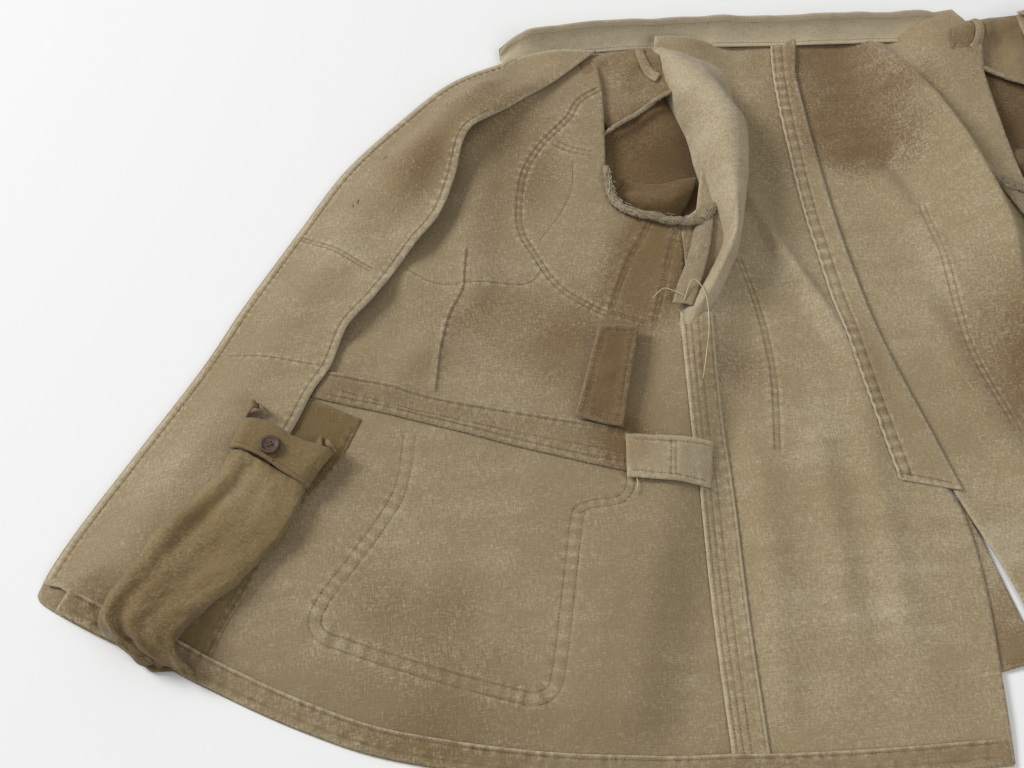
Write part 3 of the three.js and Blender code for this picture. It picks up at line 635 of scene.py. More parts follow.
def lay(name, half, ring, level, finish, seams=(), seed=1, lift=None, grid=WEAVE_GRID, thickness=CANVAS,
        worn_edge=0.35, browned=0.0, rubbed=0.0):
    """A cut piece of cloth laid over the drape, a number of layers up, and pressed along its seams."""
    side = HALVES[half]
    flat, faces = triangles(ring, seams, grid)
    row = flat * (side, 1)
    height = drape(row) + level * LAYER + thickness
    brown, pale = soiling_and_shade(flat, half, BROWN), soiling_and_shade(flat, half, PALE)
    pale += rubbed + 0.12 * ripple(row, 70 * MM, 40 + seed, 3) + 0.05 * ripple(row, 14 * MM, 60 + seed)
    brown += browned + 0.14 * ripple(row, 100 * MM, 80 + seed, 3)
    for number, seam in enumerate(seams):
        rise, worn = seam.press(flat, seed * 17 + number)
        height += rise
        pale += worn
    rim = from_rim(ring, flat)
    height -= 0.35 * MM * near_zero(rim, 1.5 * MM)
    pale += worn_edge * near_zero(rim, 2.2 * MM)
    if lift:
        height += lift(flat)
    height = np.maximum(height, thickness + 0.05 * MM)
    faces = [face[::-1] for face in faces] if side < 0 else faces
    verts = np.column_stack([row, height])
    piece = mesh_piece(name, verts, faces, finish, flat, {BROWN: brown, PALE: pale})
    SURFACES[name] = BVHTree.FromPolygons([tuple(v) for v in verts], faces)
    for seam in seams:
        if seam.thread:
            sew(name, half, seam)
    shoelace = ring[:, 0] * np.roll(ring[:, 1], -1) - ring[:, 1] * np.roll(ring[:, 0], -1)
    piece["cut"] = cut_size(ring, abs(shoelace.sum()) / 2)
    return thicken(piece, thickness)


def sew(name, half, seam, thread="khaki"):
    """Stitches along each row of a seam, on the surface of the piece."""
    for row in seam.rows:
        way = shift(evenly(seam.way, STITCH_PITCH), row)
        for here, run in zip(way, np.diff(way, axis=0)):
            tips = [here + run * share for share in (0.12, 0.86)]
            ends = [found_from_above(name, x * HALVES[half], y) for x, y in tips]
            if all(ends) and abs(ends[0].z - ends[1].z) < 3 * MM:
                STITCHES.setdefault((name, thread), []).append(ends)


def stitch_mesh(name, pairs, finish, radius=0.31 * MM):
    """Short rounded stitches, one for each pair of ends."""
    a, b = np.array(pairs).transpose(1, 0, 2)
    run = b - a
    run /= np.linalg.norm(run, axis=1)[:, None]
    up = np.array([0.0, 0.0, 1.0]) - run * run[:, 2:]
    up /= np.linalg.norm(up, axis=1)[:, None]
    out = np.cross(run, up)
    rings = [a - up * 0.25 * MM]
    for share in (0.25, 0.75):
        middle = a + (b - a) * share + up * 0.22 * MM
        rings += [middle + out * radius, middle + up * radius, middle - out * radius, middle - up * radius]
    rings.append(b - up * 0.25 * MM)
    verts = np.stack(rings, axis=1).reshape(-1, 3)
    shape = [(0, 2, 1), (0, 3, 2), (0, 4, 3), (0, 1, 4)]
    shape += [(1, 2, 6, 5), (2, 3, 7, 6), (3, 4, 8, 7), (4, 1, 5, 8)]
    shape += [(9, 5, 6), (9, 6, 7), (9, 7, 8), (9, 8, 5)]
    faces = [tuple(10 * k + i for i in face) for k in range(len(pairs)) for face in shape]
    return mesh_piece(name, verts, faces, finish)


def across_fold(piece, half):
    """A piece of the front that bends where the front folds over the back."""
    inner, outer = (HALVES[half] * (FOLD_LINE + share) for share in (-FOLD_SHARE, FOLD_SHARE))
    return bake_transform(piece, "back", f"{half}_front", start=(inner, 0, 0), end=(outer, 0, 0))


def loft(name, sections, finish, half="left", rows=40, step=3 * MM, thickness=CANVAS, rumple=0.3, size=24,
         seed=3, offset=-1.0, brown=0.0, pale=0.0, gather=0.0):
    """A cloth surface drawn through open sections in turn, in millimetres, then crumpled and thickened."""
    side = HALVES[half]
    ribs = np.array([evenly(curve(places(*section), 1 * MM), count=rows) for section in sections])
    count = max(int(length_of(ribs.mean(axis=1)) / step), 4)
    grid = np.array([evenly(curve(ribs[:, k], 1 * MM), count=count) for k in range(rows)])
    across, along = runs_of(grid[:, count // 2]), runs_of(grid.mean(axis=0))
    uv = np.stack(np.meshgrid(across, along, indexing="ij"), axis=2).reshape(-1, 2)
    normal = np.cross(np.gradient(grid, axis=0), np.gradient(grid, axis=1))
    normal /= np.maximum(np.linalg.norm(normal, axis=2), 1e-9)[:, :, None]
    crease = rumple * MM * ripple(uv, size * MM, seed, 3).reshape(rows, count)
    crease = crease * (1 + gather * smooth(0.62, 1.0, along / along[-1]))
    verts = (grid + normal * crease[:, :, None]).reshape(-1, 3) * (side, 1, 1)
    faces = []
    for i in range(rows - 1):
        for j in range(count - 1):
            a, b = i * count + j, (i + 1) * count + j
            faces.append((a, b, b + 1, a + 1) if side > 0 else (a, a + 1, b + 1, b))
    marks = {BROWN: brown + 0.25 * ripple(uv, 50 * MM, seed + 5),
             PALE: pale + 0.25 * ripple(uv, 35 * MM, seed + 9)}
    piece = mesh_piece(name, verts, faces, finish, uv, marks)
    SURFACES[name] = BVHTree.FromPolygons([tuple(v) for v in verts], faces)
    area = sum(face.area for face in piece.data.polygons)
    piece["cut"] = [across[-1], area / across[-1], area]
    return thicken(piece, thickness, offset)


def tube(name, way, radius, finish, sides=8, seed=1, fray=0.0, flatten=1.0):
    """A round bead along a way, rougher where it is frayed."""
    run = np.gradient(way, axis=0)
    run /= np.linalg.norm(run, axis=1)[:, None]
    out = np.cross(run, (0, 0, 1))
    out /= np.linalg.norm(out, axis=1)[:, None]
    up = np.cross(out, run)
    turn = np.linspace(0, 2 * math.pi, sides, endpoint=False)
    uneven = 1 + fray * np.random.default_rng(seed).uniform(-1, 1, (len(way), sides))
    size = radius * uneven * np.sin(np.linspace(0.25, math.pi - 0.25, len(way)))[:, None] ** 0.25
    ring = (way[:, None] + out[:, None] * (np.cos(turn) * size)[:, :, None]
            + up[:, None] * (np.sin(turn) * size * flatten)[:, :, None])
    verts = np.vstack([ring.reshape(-1, 3), way[:1], way[-1:]])
    faces = []
    for k in range(len(way) - 1):
        for s in range(sides):
            a, b = k * sides + s, k * sides + (s + 1) % sides
            faces.append((a, a + sides, b + sides, b))
    first, last, base = len(verts) - 2, len(verts) - 1, (len(way) - 1) * sides
    for s in range(sides):
        faces.append((first, s, (s + 1) % sides))
        faces.append((last, base + (s + 1) % sides, base + s))
    along = np.repeat(np.arange(len(way)) * length_of(way) / len(way), sides)
    uv = np.column_stack([np.tile(turn * radius, len(way)), along])
    uv = np.vstack([uv, uv[:1], uv[-1:]])
    marks = {BROWN: np.zeros(len(verts)), PALE: 0.3 * ripple(uv, 6 * MM, seed)}
    return mesh_piece(name, verts, faces, finish, uv, marks)


# ---- Fronts -------------------------------------------------------------------------------------

ARMHOLE_FRONT = places((213, 351), (215, 293), (222, 233), (226, 203), (226, 172), (219, 156), (204, 148),
                       (188, 143))
SIDE_SEAM = places((168, 138), (171, 96), (178, 40), (184, -20), (188, -75), (190, -122), (200, -244),
                   (207, -366))
PATCH_SEAM = ((215, 303), (237, 290), (250, 270), (278, 243), (298, 214), (308, 180), (311, 147), (302, 118),
              (288, 86), (270, 66), (247, 48))
STRIP_FRONT = ((190, 146), (203, 125), (216, 106), (231, 77), (244, 49))
STRIP_BACK = ((168, 136), (178, 112), (186, 90), (197, 60), (208, 32))
FREE_EDGE = places((213, 351), (268, 309), (327, 268), (352, 246), (368, 200), (386, 162), (423, 122),
                   (448, 87), (476, 56), (492, 22), (507, 0), (531, -42), (572, -100), (618, -166),
                   (640, -200))
POCKET_SEAM = places((471, -34), (496, -76), (535, -119), (569, -175), (588, -202), (609, -232))
PATCH_POCKET = ((427, -53), (434, -86), (446, -116), (484, -166), (512, -202), (512, -216), (494, -226),
                (430, -256), (366, -282), (350, -284), (342, -274), (328, -222), (310, -150), (304, -134))
HEM_BAND = 21
EDGE_WAY, HEM_WAY = curve(FRONT_EDGE), curve(HEM)


def part_of(way, low, high):
    """The places of a way whose x is between two values."""
    return way[(way[:, 0] >= low * MM) & (way[:, 0] <= high * MM)]


def beside_way(way, offset):
    """Evenly spaced places beside a way, an offset in millimetres to its left."""
    return evenly(shift(way, offset * MM), SEAM_STEP)


def bulge(xy, x, y, width, length):
    """1 at a place in millimetres, falling off softly over a width and a length."""
    return np.exp(-((xy[:, 0] / MM - x) / width) ** 2 - ((xy[:, 1] / MM - y) / length) ** 2)


def front_cloth(half):
    """The main cloth of a front and the side panel, in one run of canvas."""
    seams = [
        Seam(*PATCH_SEAM, rows=(0, 5), pucker=0.3, raised=0.9, pitch=8, wear=0.7),
        Seam((421, 117), (392, 97), (340, 89), (312, 88), (298, 104), pucker=0.3, pitch=10, wear=0.45),
        Seam((255, 222), (260, 190), (274, 162), (298, 132), sunk=0.35, pucker=0.2, wear=0.3),
        Seam((268, 247), (252, 236), (235, 229), rows=(0, 6), pucker=0.35, pitch=6, wear=0.6),
        Seam((364, 130), (369, 104), (372, 86), (386, 62), (396, 30), (406, -14), raised=2.6, sunk=0.6,
             wear=0.8),
        Seam(*STRIP_FRONT, rows=(0, 4), raised=1.2, pucker=0.2, wear=0.7),
        Seam(*STRIP_BACK, rows=(0, 4), raised=1.0, pucker=0.2, wear=0.6),
        Seam((211, 32), (228, 38), (247, 48), rows=(0, 3), pucker=0.3, wear=0.4),
        Seam(*PATCH_POCKET, rows=(0, 10), pucker=0.75, pitch=12, wear=0.5),
        Seam((304, -134), (290, -130), (264, -127), (254, -104), rows=(0, 7), pucker=0.5, pitch=10, wear=0.5),
    ]
    ring = ring_of(part_of(HEM_WAY, 208, 740)[::-1], EDGE_WAY[::-1], places((284, 370), (250, 362)),
                   curve(ARMHOLE_FRONT), curve(SIDE_SEAM))

    def worn_quilting(xy):
        rumple = ripple(xy * (0.6, 1.8), 9 * MM, 91, 3) + 0.5
        return bulge(xy, 272, 272, 34, 17) * 1.1 * MM * rumple

    piece = lay(f"{half}_front_cloth", half, ring, 0, KHAKI, seams, seed=1 if half == "right" else 2,
                lift=worn_quilting)
    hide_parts(f"{half}_front_panel", f"{half}_side_panel")
    return across_fold(piece, half)


def facing(half):
    """The turned-back edge of the front: sewn at its outer edge, its inner edge standing up a little."""
    free = curve(FREE_EDGE)
    outer = shift(EDGE_WAY, -3 * MM)
    ring = ring_of(outer[2:-3], places((722, -150), (700, -168)), free[::-1], places((250, 358), (284, 365)))
    seams = [
        Seam(way=shift(curve(FRONT_EDGE, SEAM_STEP), -9 * MM)[2:-4], pucker=0.45, pitch=7, raised=0.5,
             wear=0.75),
        Seam((511, 171), (487, 150), (450, 117), rows=(0, 4), pucker=0.3, pitch=7, sunk=0.6, raised=0.5),
        Seam((583, 50), (546, 37), (502, 22), pucker=0.3, pitch=8, raised=0.5, wear=0.5),
        Seam(way=shift(free[46:-46], 7 * MM), pucker=0.25, sunk=0.4, wear=0.8),
    ]

    def stand(xy):
        along, beside = measure(free, xy)
        near = near_zero(beside, 20 * MM)
        first = smooth(110 * MM, 170 * MM, along) * (1 - smooth(290 * MM, 325 * MM, along))
        second = smooth(330 * MM, 360 * MM, along) * (1 - smooth(400 * MM, 430 * MM, along))
        return near * (first * 9 * MM + second * 6 * MM) + 0.6 * MM * near

    piece = lay(f"{half}_facing_cloth", half, ring, 2, KHAKI, seams, lift=stand,
                seed=3 if half == "right" else 4, worn_edge=0.9, thickness=1.6 * MM)
    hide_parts(f"{half}_facing")
    return across_fold(piece, half)


def waist_stay(half):
    """The brown band of cloth along the waist."""
    ring = ring_of(curve(places((239, -75), (271, -61), (320, -46), (395, -22), (461, 5), (500, 18))),
                   curve(places((512, -8), (455, -28), (397, -52), (301, -91), (241, -112))))
    seams = [
        Seam((243, -79), (272, -65), (321, -50), (396, -26), (461, 1), (496, 13), raised=1.0, sunk=0.7),
        Seam((250, -100), (301, -84), (397, -45), (455, -21), (500, -6), pucker=0.3),
        Seam((250, -92), (340, -62), (430, -28), (486, -4), pucker=0.2, sunk=0.3, wear=0.3),
    ]
    piece = lay(f"{half}_waist_band", half, ring, 1, STAY, seams, seed=6)
    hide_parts(f"{half}_waist_stay")
    return across_fold(piece, half)


def hem_band(half):
    """The turned-up hem, over the facing at the front and over the seam at the side."""
    line = part_of(HEM_WAY, 61 if half == "left" else 3, 726)[::-1]
    ring = ring_of(shift(line, 0.6 * MM), shift(line, HEM_BAND * MM)[::-1])
    seams = [
        Seam(way=beside_way(line, HEM_BAND - 3)[2:-2], pucker=0.8, pitch=14, raised=0.9, sunk=0.8, wear=0.5),
        Seam(way=beside_way(line, 7)[2:-2], pucker=0.7, pitch=17, sunk=0.1, wear=0.35, thread=False),
    ]

    def over(xy):
        on_facing = smooth(590 * MM, 620 * MM, xy[:, 0]) * 3.6 * MM
        on_seam = near_zero(xy[:, 0] - 212 * MM, 26 * MM) * 2.4 * MM
        return on_facing + on_seam

    piece = lay(f"{half}_hem_band", half, ring, 0.9, KHAKI, seams, lift=over, seed=14, worn_edge=0.6,
                browned=0.2, rubbed=-0.05)
    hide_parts(f"{half}_front_hem", f"{half}_back_hem")
    return across_fold(piece, half)


def outside_patches(half):
    """The pockets and the shoulder patch on the outside, under the main cloth as the jacket lies."""
    rings = {
        "shoulder_patch": ring_of(curve(places(*PATCH_SEAM)),
                                  places((230, 60), (226, 140), (226, 210), (219, 280))),
        "breast_pocket": ring_of(curve(places((421, 119), (392, 97), (340, 88), (314, 87))),
                                 places((308, 100), (322, 176), (404, 186))),
        "lower_pocket": ring_of(curve(places((430, -50), (440, -92), (450, -120), (516, -206))),
                                curve(places((500, -224), (430, -258), (346, -290))),
                                curve(places((328, -222), (304, -134), (264, -127), (254, -104)))),
    }
    pieces = []
    for number, (node, ring) in enumerate(rings.items(), 21):
        piece = lay(f"{half}_{node}_cloth", half, ring, -0.75, BACK_KHAKI, grid=5 * MM,
                    thickness=1.1 * MM, seed=number)
        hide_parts(f"{half}_{node}")
        pieces.append(across_fold(piece, half))
    return pieces


# ---- Inside pocket ------------------------------------------------------------------------------

# Lines across the slack bag: its left and right ends, the heights of its left edge and its top, and how
# deep it sags between its two soft pleats.
BAG_RIBS = [
    ((579, -50), (519, -97), 25, 35, 0.5), ((588, -64), (523, -107), 22, 35, 3),
    ((598, -78), (529, -117), 21, 35.5, 5), ((618, -96), (540, -136), 20, 36, 4),
    ((640, -116), (556, -153), 20, 36, 3), ((664, -144), (575, -170), 19, 36, 3),
    ((684, -170), (600, -188), 17, 36, 4), ((690, -183), (614, -200), 15, 36, 6),
    ((687, -194), (624, -210), 13, 34, 8), ((680, -203), (626, -219), 11, 31, 8),
    ((671, -211), (622, -227), 9, 26, 6), ((660, -218), (616, -234), 7, 19, 4),
    ((652, -222), (612, -238), 5, 11, 1),
]
BAG_TUCK = 4  # the right edge is turned in under the bag, this far below the left one
BAG_FOOT = 6  # but no lower than this


def bag_rib(left, right, low, top, deep):
    """One line across the bag: up from its left edge, over two soft pleats and in under its right edge."""
    shape = ((0.0, low), (0.05, low + 0.6 * (top - low)), (0.16, top), (0.3, top - deep), (0.42, top + 0.5),
             (0.6, top - 0.4 * deep), (0.78, top), (0.95, top - 1), (1.0, top - 4.5),
             (0.95, max(low - BAG_TUCK, BAG_FOOT)))
    return [(left[0] + (right[0] - left[0]) * t, left[1] + (right[1] - left[1]) * t, z) for t, z in shape]


def pocket_bag(half):
    """The slack front of the pocket, which hangs from the mouth and is gathered into the seam below."""
    face = loft(f"{half}_pocket_bag", [bag_rib(*rib) for rib in BAG_RIBS], OLIVE, half, rows=70,
                step=2.2 * MM, rumple=2.3, seed=31 if half == "right" else 32, brown=0.3, pale=0.15,
                gather=0.9)
    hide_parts(f"{half}_pocket_face")
    side = HALVES[half]
    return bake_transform(face, f"{half}_front", f"{half}_pocket", start=(side * 0.655, -0.226, 0),
                    end=(side * 0.618, -0.172, 0))


def pocket_mouth(half):
    """The doubled band round the mouth, with its stitching and its buttonhole bar."""
    band = loft(f"{half}_pocket_mouth", [
        [(567, -24, 31), (560, -29, 36), (548, -34, 38), (537, -43, 39.5), (521, -55, 38.5), (503, -63, 38),
         (494, -69, 34)],
        [(570, -30, 32), (563, -34, 37.5), (551, -40, 39.5), (541, -49, 41), (526, -62, 40),
         (508, -71, 39.5), (500, -76, 35)],
        [(576, -42, 32), (568, -46, 37.5), (557, -52, 39.5), (546, -61, 41), (532, -74, 40), (517, -84, 39),
         (510, -88, 34)],
        [(581, -52, 30), (574, -55, 35.8), (563, -61, 38.4), (551, -70, 39.8), (536, -84, 39),
         (523, -94, 37.5), (518, -99, 32)],
    ], OLIVE, half, rows=44, step=2.2 * MM, rumple=1.1, size=14, seed=35, thickness=2 * MM, brown=0.3)
    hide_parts(f"{half}_pocket_band")
    sew(band.name, half, Seam((576, -49), (562, -57), (549, -67), (533, -81), (519, -93)), "dark")
    sew(band.name, half, Seam((537, -64), (542, -72), (549, -80), rows=(0, 1.2)), "dark")
    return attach(band, f"{half}_pocket")


PLEATS = ((0, 558, -20, 1), (1, 503, -62, -1))


def pocket_pleat(half, number, x, y, lean):
    """The pleat of the bellows that stands up at one end of the mouth."""
    ear = loft(f"{half}_pocket_pleat_{number + 1}", [
        [(x + 9, y - 9, 28), (x + 5, y - 4, 34), (x, y, 37), (x - 4 * lean, y + 1, 31), (x - 7, y - 3, 37),
         (x - 11, y - 9, 36)],
        [(x + 8, y - 4, 27), (x + 5, y + 3, 33), (x + 1, y + 6, 36), (x - 3 * lean, y + 6, 28),
         (x - 5, y + 3, 36), (x - 9, y - 4, 35)],
        [(x + 6, y + 1, 25), (x + 4, y + 7, 30), (x + 1, y + 10, 33), (x - 1, y + 10, 25),
         (x - 4, y + 6, 33), (x - 7, y + 1, 31)],
    ], OLIVE, half, rows=24, step=1.8 * MM, rumple=0.7, size=9, seed=36 + number, thickness=1.2 * MM,
        brown=0.3, offset=0.0)
    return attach(ear, f"{half}_pocket")


def pocket_lining(half):
    """The cloth at the back of the pocket, sewn to the front along the pocket's long seam."""
    seam_way = curve(POCKET_SEAM)
    ring = ring_of(places((578, -26), (560, -8), (508, -12), (470, -33)), seam_way,
                   places((650, -228), (680, -192), (640, -120)))

    def walls(xy):
        free = smooth(3 * MM, 14 * MM, np.abs(measure(seam_way, xy)[1]))
        return 1.2 * MM * (ripple(xy, 26 * MM, 93) + 1) * free

    seams = [Seam(way=shift(curve(POCKET_SEAM, SEAM_STEP), 3 * MM)[2:-2], raised=1.0, sunk=0.7, pucker=0.2)]
    lining = lay(f"{half}_pocket_lining", half, ring, 0.8, OLIVE, seams, lift=walls, seed=38,
                 thickness=0.9 * MM, browned=0.35, rubbed=-0.1, grid=FINE_GRID)
    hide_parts(f"{half}_pocket_gusset")
    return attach(lining, f"{half}_front")


# ---- Buttons ------------------------------------------------------------------------------------

BUTTON_TURN = 0.35  # every button sits turned by this much on its thread


def horn_disc(name, centre, radius, thickness, tilt=(0.0, 0.0)):
    """A sewn-through button: dished face, raised rim and four drilled holes."""
    bpy.ops.object.select_all(action="DESELECT")
    bpy.ops.mesh.primitive_cylinder_add(vertices=48, radius=radius, depth=thickness * 0.7,
                                        end_fill_type="NGON", location=(0, 0, 0))
    piece = bpy.context.active_object
    piece.name = piece.data.name = name
    bpy.ops.object.mode_set(mode="EDIT")
    bpy.ops.mesh.select_mode(type="FACE")
    bpy.ops.mesh.select_all(action="DESELECT")
    bpy.ops.object.mode_set(mode="OBJECT")
    for face in piece.data.polygons:
        face.select = face.normal.z > 0.9
    bpy.ops.object.mode_set(mode="EDIT")
    bpy.ops.mesh.inset(thickness=radius * 0.1)
    bpy.ops.transform.translate(value=(0, 0, thickness * 0.25))
    bpy.ops.mesh.inset(thickness=radius * 0.16)
    bpy.ops.mesh.inset(thickness=radius * 0.16)
    bpy.ops.transform.translate(value=(0, 0, -thickness * 0.35))
    bpy.ops.object.mode_set(mode="OBJECT")
    rounding = piece.modifiers.new("rounding", "BEVEL")
    rounding.width, rounding.segments, rounding.limit_method = thickness * 0.12, 3, "ANGLE"
    drills = []
    for k in range(4):
        turn, reach = math.pi / 4 + k * math.pi / 2, radius * 0.26
        bpy.ops.object.select_all(action="DESELECT")
        bpy.ops.mesh.primitive_cylinder_add(vertices=16, radius=radius * 0.11, depth=thickness * 3,
                                            location=(math.cos(turn) * reach, math.sin(turn) * reach, 0))
        drills.append(bpy.context.active_object)
    bpy.context.view_layer.objects.active = piece
    bpy.ops.object.modifier_apply(modifier="rounding")
    for drill in drills:
        hole = piece.modifiers.new("hole", "BOOLEAN")
        hole.object, hole.operation, hole.solver = drill, "DIFFERENCE", "EXACT"
        bpy.ops.object.modifier_apply(modifier="hole")
        bpy.data.objects.remove(drill)
    piece.data.materials.clear()
    piece.data.materials.append(HORN)
    bpy.ops.object.select_all(action="DESELECT")
    piece.select_set(True)
    bpy.ops.object.shade_smooth_by_angle(angle=math.radians(35))
    piece.rotation_euler = (*tilt, BUTTON_TURN)
    piece.location = centre
    bpy.ops.object.transform_apply(location=True, rotation=True, scale=True)
    return piece


def cross_threads(name, centre, spread, height):
    """Two bars of sewing thread over a button's holes."""
    pairs = []
    for turn in (BUTTON_TURN + math.pi / 4, BUTTON_TURN + 3 * math.pi / 4):
        for side in (-0.4, 0.4):
            over = Vector((-math.sin(turn), math.cos(turn), 0)) * side * spread * 0.5
            reach = Vector((math.cos(turn), math.sin(turn), 0)) * spread
            top = centre + Vector((0, 0, height)) + over
            pairs.append((top - reach, top + reach))
    return stitch_mesh(name, pairs, BROWN_THREAD, 0.45 * MM)


def node_place(node):
    """Middle, radius and thickness of a button's node."""
    low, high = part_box(node)
    return (low + high) / 2, (high.x - low.x) / 2, high.z - low.z


def sewn_button(half, place, body, sunk, thread_rise):
    """A button that lies on its cloth, sunk a little, with the thread that holds it."""
    node = f"{half}_{place}_button"
    middle, radius, thick = node_place(node)
    button = horn_disc(f"{half}_{place}_horn", middle - Vector((0, 0, sunk)), radius, thick)
    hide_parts(node)
    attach(button, body)
    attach(cross_threads(f"{node}_thread", middle, radius * 0.34, thread_rise), body)


def front_button(number):
    """A closing button on the outside of the front: under the cloth, face down."""
    node = f"right_front_button_{number}"
    middle, radius, thick = node_place(node)
    under = SURFACES["right_front_cloth"].ray_cast(Vector((middle.x, middle.y, -1)), Vector((0, 0, 1)))[0]
    middle.z = under.z - CANVAS - 0.35 * thick
    button = horn_disc(f"right_front_horn_{number}", middle, radius, thick, tilt=(math.pi, 0))
    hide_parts(node)
    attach(button, "right_front")


# ---- Waist tab ----------------------------------------------------------------------------------

def waist_tab(half):
    """A short doubled tab with a lump of turnings at its middle and a topstitched end."""
    ring = corners((224, 27), (259, 31), (292, -54), (254, -70))

    def lump(xy):
        edge = np.minimum(np.abs(measure(places((224, 27), (254, -70)), xy)[1]), 12 * MM) / (12 * MM)
        knots = bulge(xy, 254, -18, 14, 12) + bulge(xy, 256, 12, 24, 30)
        return knots * 4.5 * MM + (1 - edge) * 3.2 * MM + 1.2 * MM * (ripple(xy, 16 * MM, 44) + 0.7)

    seams = [
        Seam((253, 24), (263, 2), (283, -50), rows=(0, 3), pucker=0.3, pitch=7, raised=0.5),
        Seam((231, 20), (240, -6), (257, -62), pucker=0.3, pitch=7, raised=0.6),
        Seam((282, -46), (252, -60), rows=(0, 5), pucker=0.3, pitch=7, raised=0.5),
        Seam((228, 21), (256, 25), pucker=0.4, pitch=7),
    ]
    piece = lay(f"{half}_waist_tab_cloth", half, ring, 2.6, STAY, seams, lift=lump, seed=45, grid=FINE_GRID,
                thickness=2 * MM, worn_edge=0.9, browned=1.1, rubbed=-0.15)
    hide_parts(f"{half}_waist_tab")
    edge = HALVES[half] * 0.242
    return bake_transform(piece, f"{half}_front", f"{half}_tab", start=(edge, 0.034, 0), end=(edge, 0.016, 0))


# ---- Back ---------------------------------------------------------------------------------------

CENTRE_SEAM = {
    "right": places((26, 351), (30, 161), (24, -1), (5, -110), (-9, -145), (-17, -180), (-15, -250),
                    (1, -378)),
    "left": places((-24, 351), (-28, 161), (-22, -1), (-2, -110), (12, -145), (21, -176), (42, -252),
                   (60, -377)),
}
VENT_END = {"right": 1, "left": 60}  # where the vent's edge meets the hem
BACK_ARMHOLE = {
    "right": places((160, 330), (140, 280), (136, 200), (150, 150)),
    "left": places((172, 330), (160, 280), (158, 200), (160, 150)),
}
BACK_TUCK = {
    "right": ((118, 98), (111, 60), (108, 20), (110, -29), (122, -97)),
    "left": ((59, 138), (61, 110), (64, 77), (64, -20), (80, -104)),
}
TENT_RIDGE = places((60, 348), (75, 309), (93, 255), (112, 186), (127, 100), (126, 61), (120, 10), (118, -40),
                    (122, -100))
TENT_HEIGHT = (5, 31, 41, 43, 40, 34, 21, 9, 0)
TENT_SPREAD = (34, 52, 66, 76, 84, 84, 70, 50, 40)
TENT_FALL = 21  # width of its steep slope
TENT_ROUND = 3  # how round its ridge is


def tent(xy):
    """Height of the large fold on the left half: a long slope up from the centre, then a steep one."""
    ridge = curve(TENT_RIDGE, 8 * MM)
    along, beside = measure(ridge, xy)
    share = along / length_of(ridge) * (len(TENT_HEIGHT) - 1)
    stations = np.arange(len(TENT_HEIGHT))
    top = np.interp(share, stations, TENT_HEIGHT) * MM
    spread = np.where(beside < 0, np.interp(share, stations, TENT_SPREAD), TENT_FALL) * MM
    ridge_round = TENT_ROUND * MM
    away = np.clip(np.sqrt(beside ** 2 + ridge_round ** 2) - ridge_round, 0, spread) / spread
    return top * np.where(beside < 0, (1 - away) ** 1.5, (1 - away) ** 1.2)


def back_cloth(half):
    """One half of the back. On the left half a large fold stands up from it."""
    centre_way = CENTRE_SEAM[half]
    seams = [Seam(*BACK_TUCK[half], rows=(0, 5), raised=1.6, sunk=0.7, pucker=0.2, wear=0.55)]
    ring = ring_of(curve(centre_way)[::-1], curve(NECK)[1:52], BACK_ARMHOLE[half],
                   curve(SIDE_SEAM) - (0.4 * MM, 0), part_of(HEM_WAY, VENT_END[half] + 2, 205))

    def stand(xy):
        vent_edge = near_zero(measure(curve(centre_way, 8 * MM), xy)[1], 22 * MM)
        rise = 1.3 * MM * vent_edge * smooth(100 * MM, 170 * MM, -xy[:, 1])
        if half == "left":
            spare = tent(xy) - drape(xy)
            rise += 0.5 * (spare + np.sqrt(spare ** 2 + (2 * MM) ** 2)) - 0.4 * MM
        return rise

    piece = lay(f"{half}_back_cloth", half, ring, 0, BACK_KHAKI, seams, lift=stand,
                seed=7 if half == "right" else 8, browned=-0.1, rubbed=0.1)
    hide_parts(f"{half}_back_panel")
    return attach(piece, "back")


def side_back_seam(half):
    """A felled seam: three rows of stitching beside a puckered fold that stands up at its edge."""
    line = curve(SIDE_SEAM[2:])[:-3]
    ring = ring_of(shift(line, 7 * MM), shift(line, -22 * MM)[::-1])
    seams = [Seam(way=beside_way(line, offset), pucker=pucker, pitch=10, raised=0.4, wear=0.4)
             for offset, pucker in ((3, 0.2), (-2, 0.2), (-8, 0.45))]
    seams.append(Seam(way=beside_way(line, -19), pucker=0.6, pitch=11, sunk=0.1, raised=0.5, wear=0.5,
                      thread=False))
    piece = lay(f"{half}_felled_seam", half, ring, 1, BACK_KHAKI, seams, seed=9, grid=BAND_GRID,
                worn_edge=0.8)
    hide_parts(f"{half}_side_back_seam")
    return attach(piece, "back")


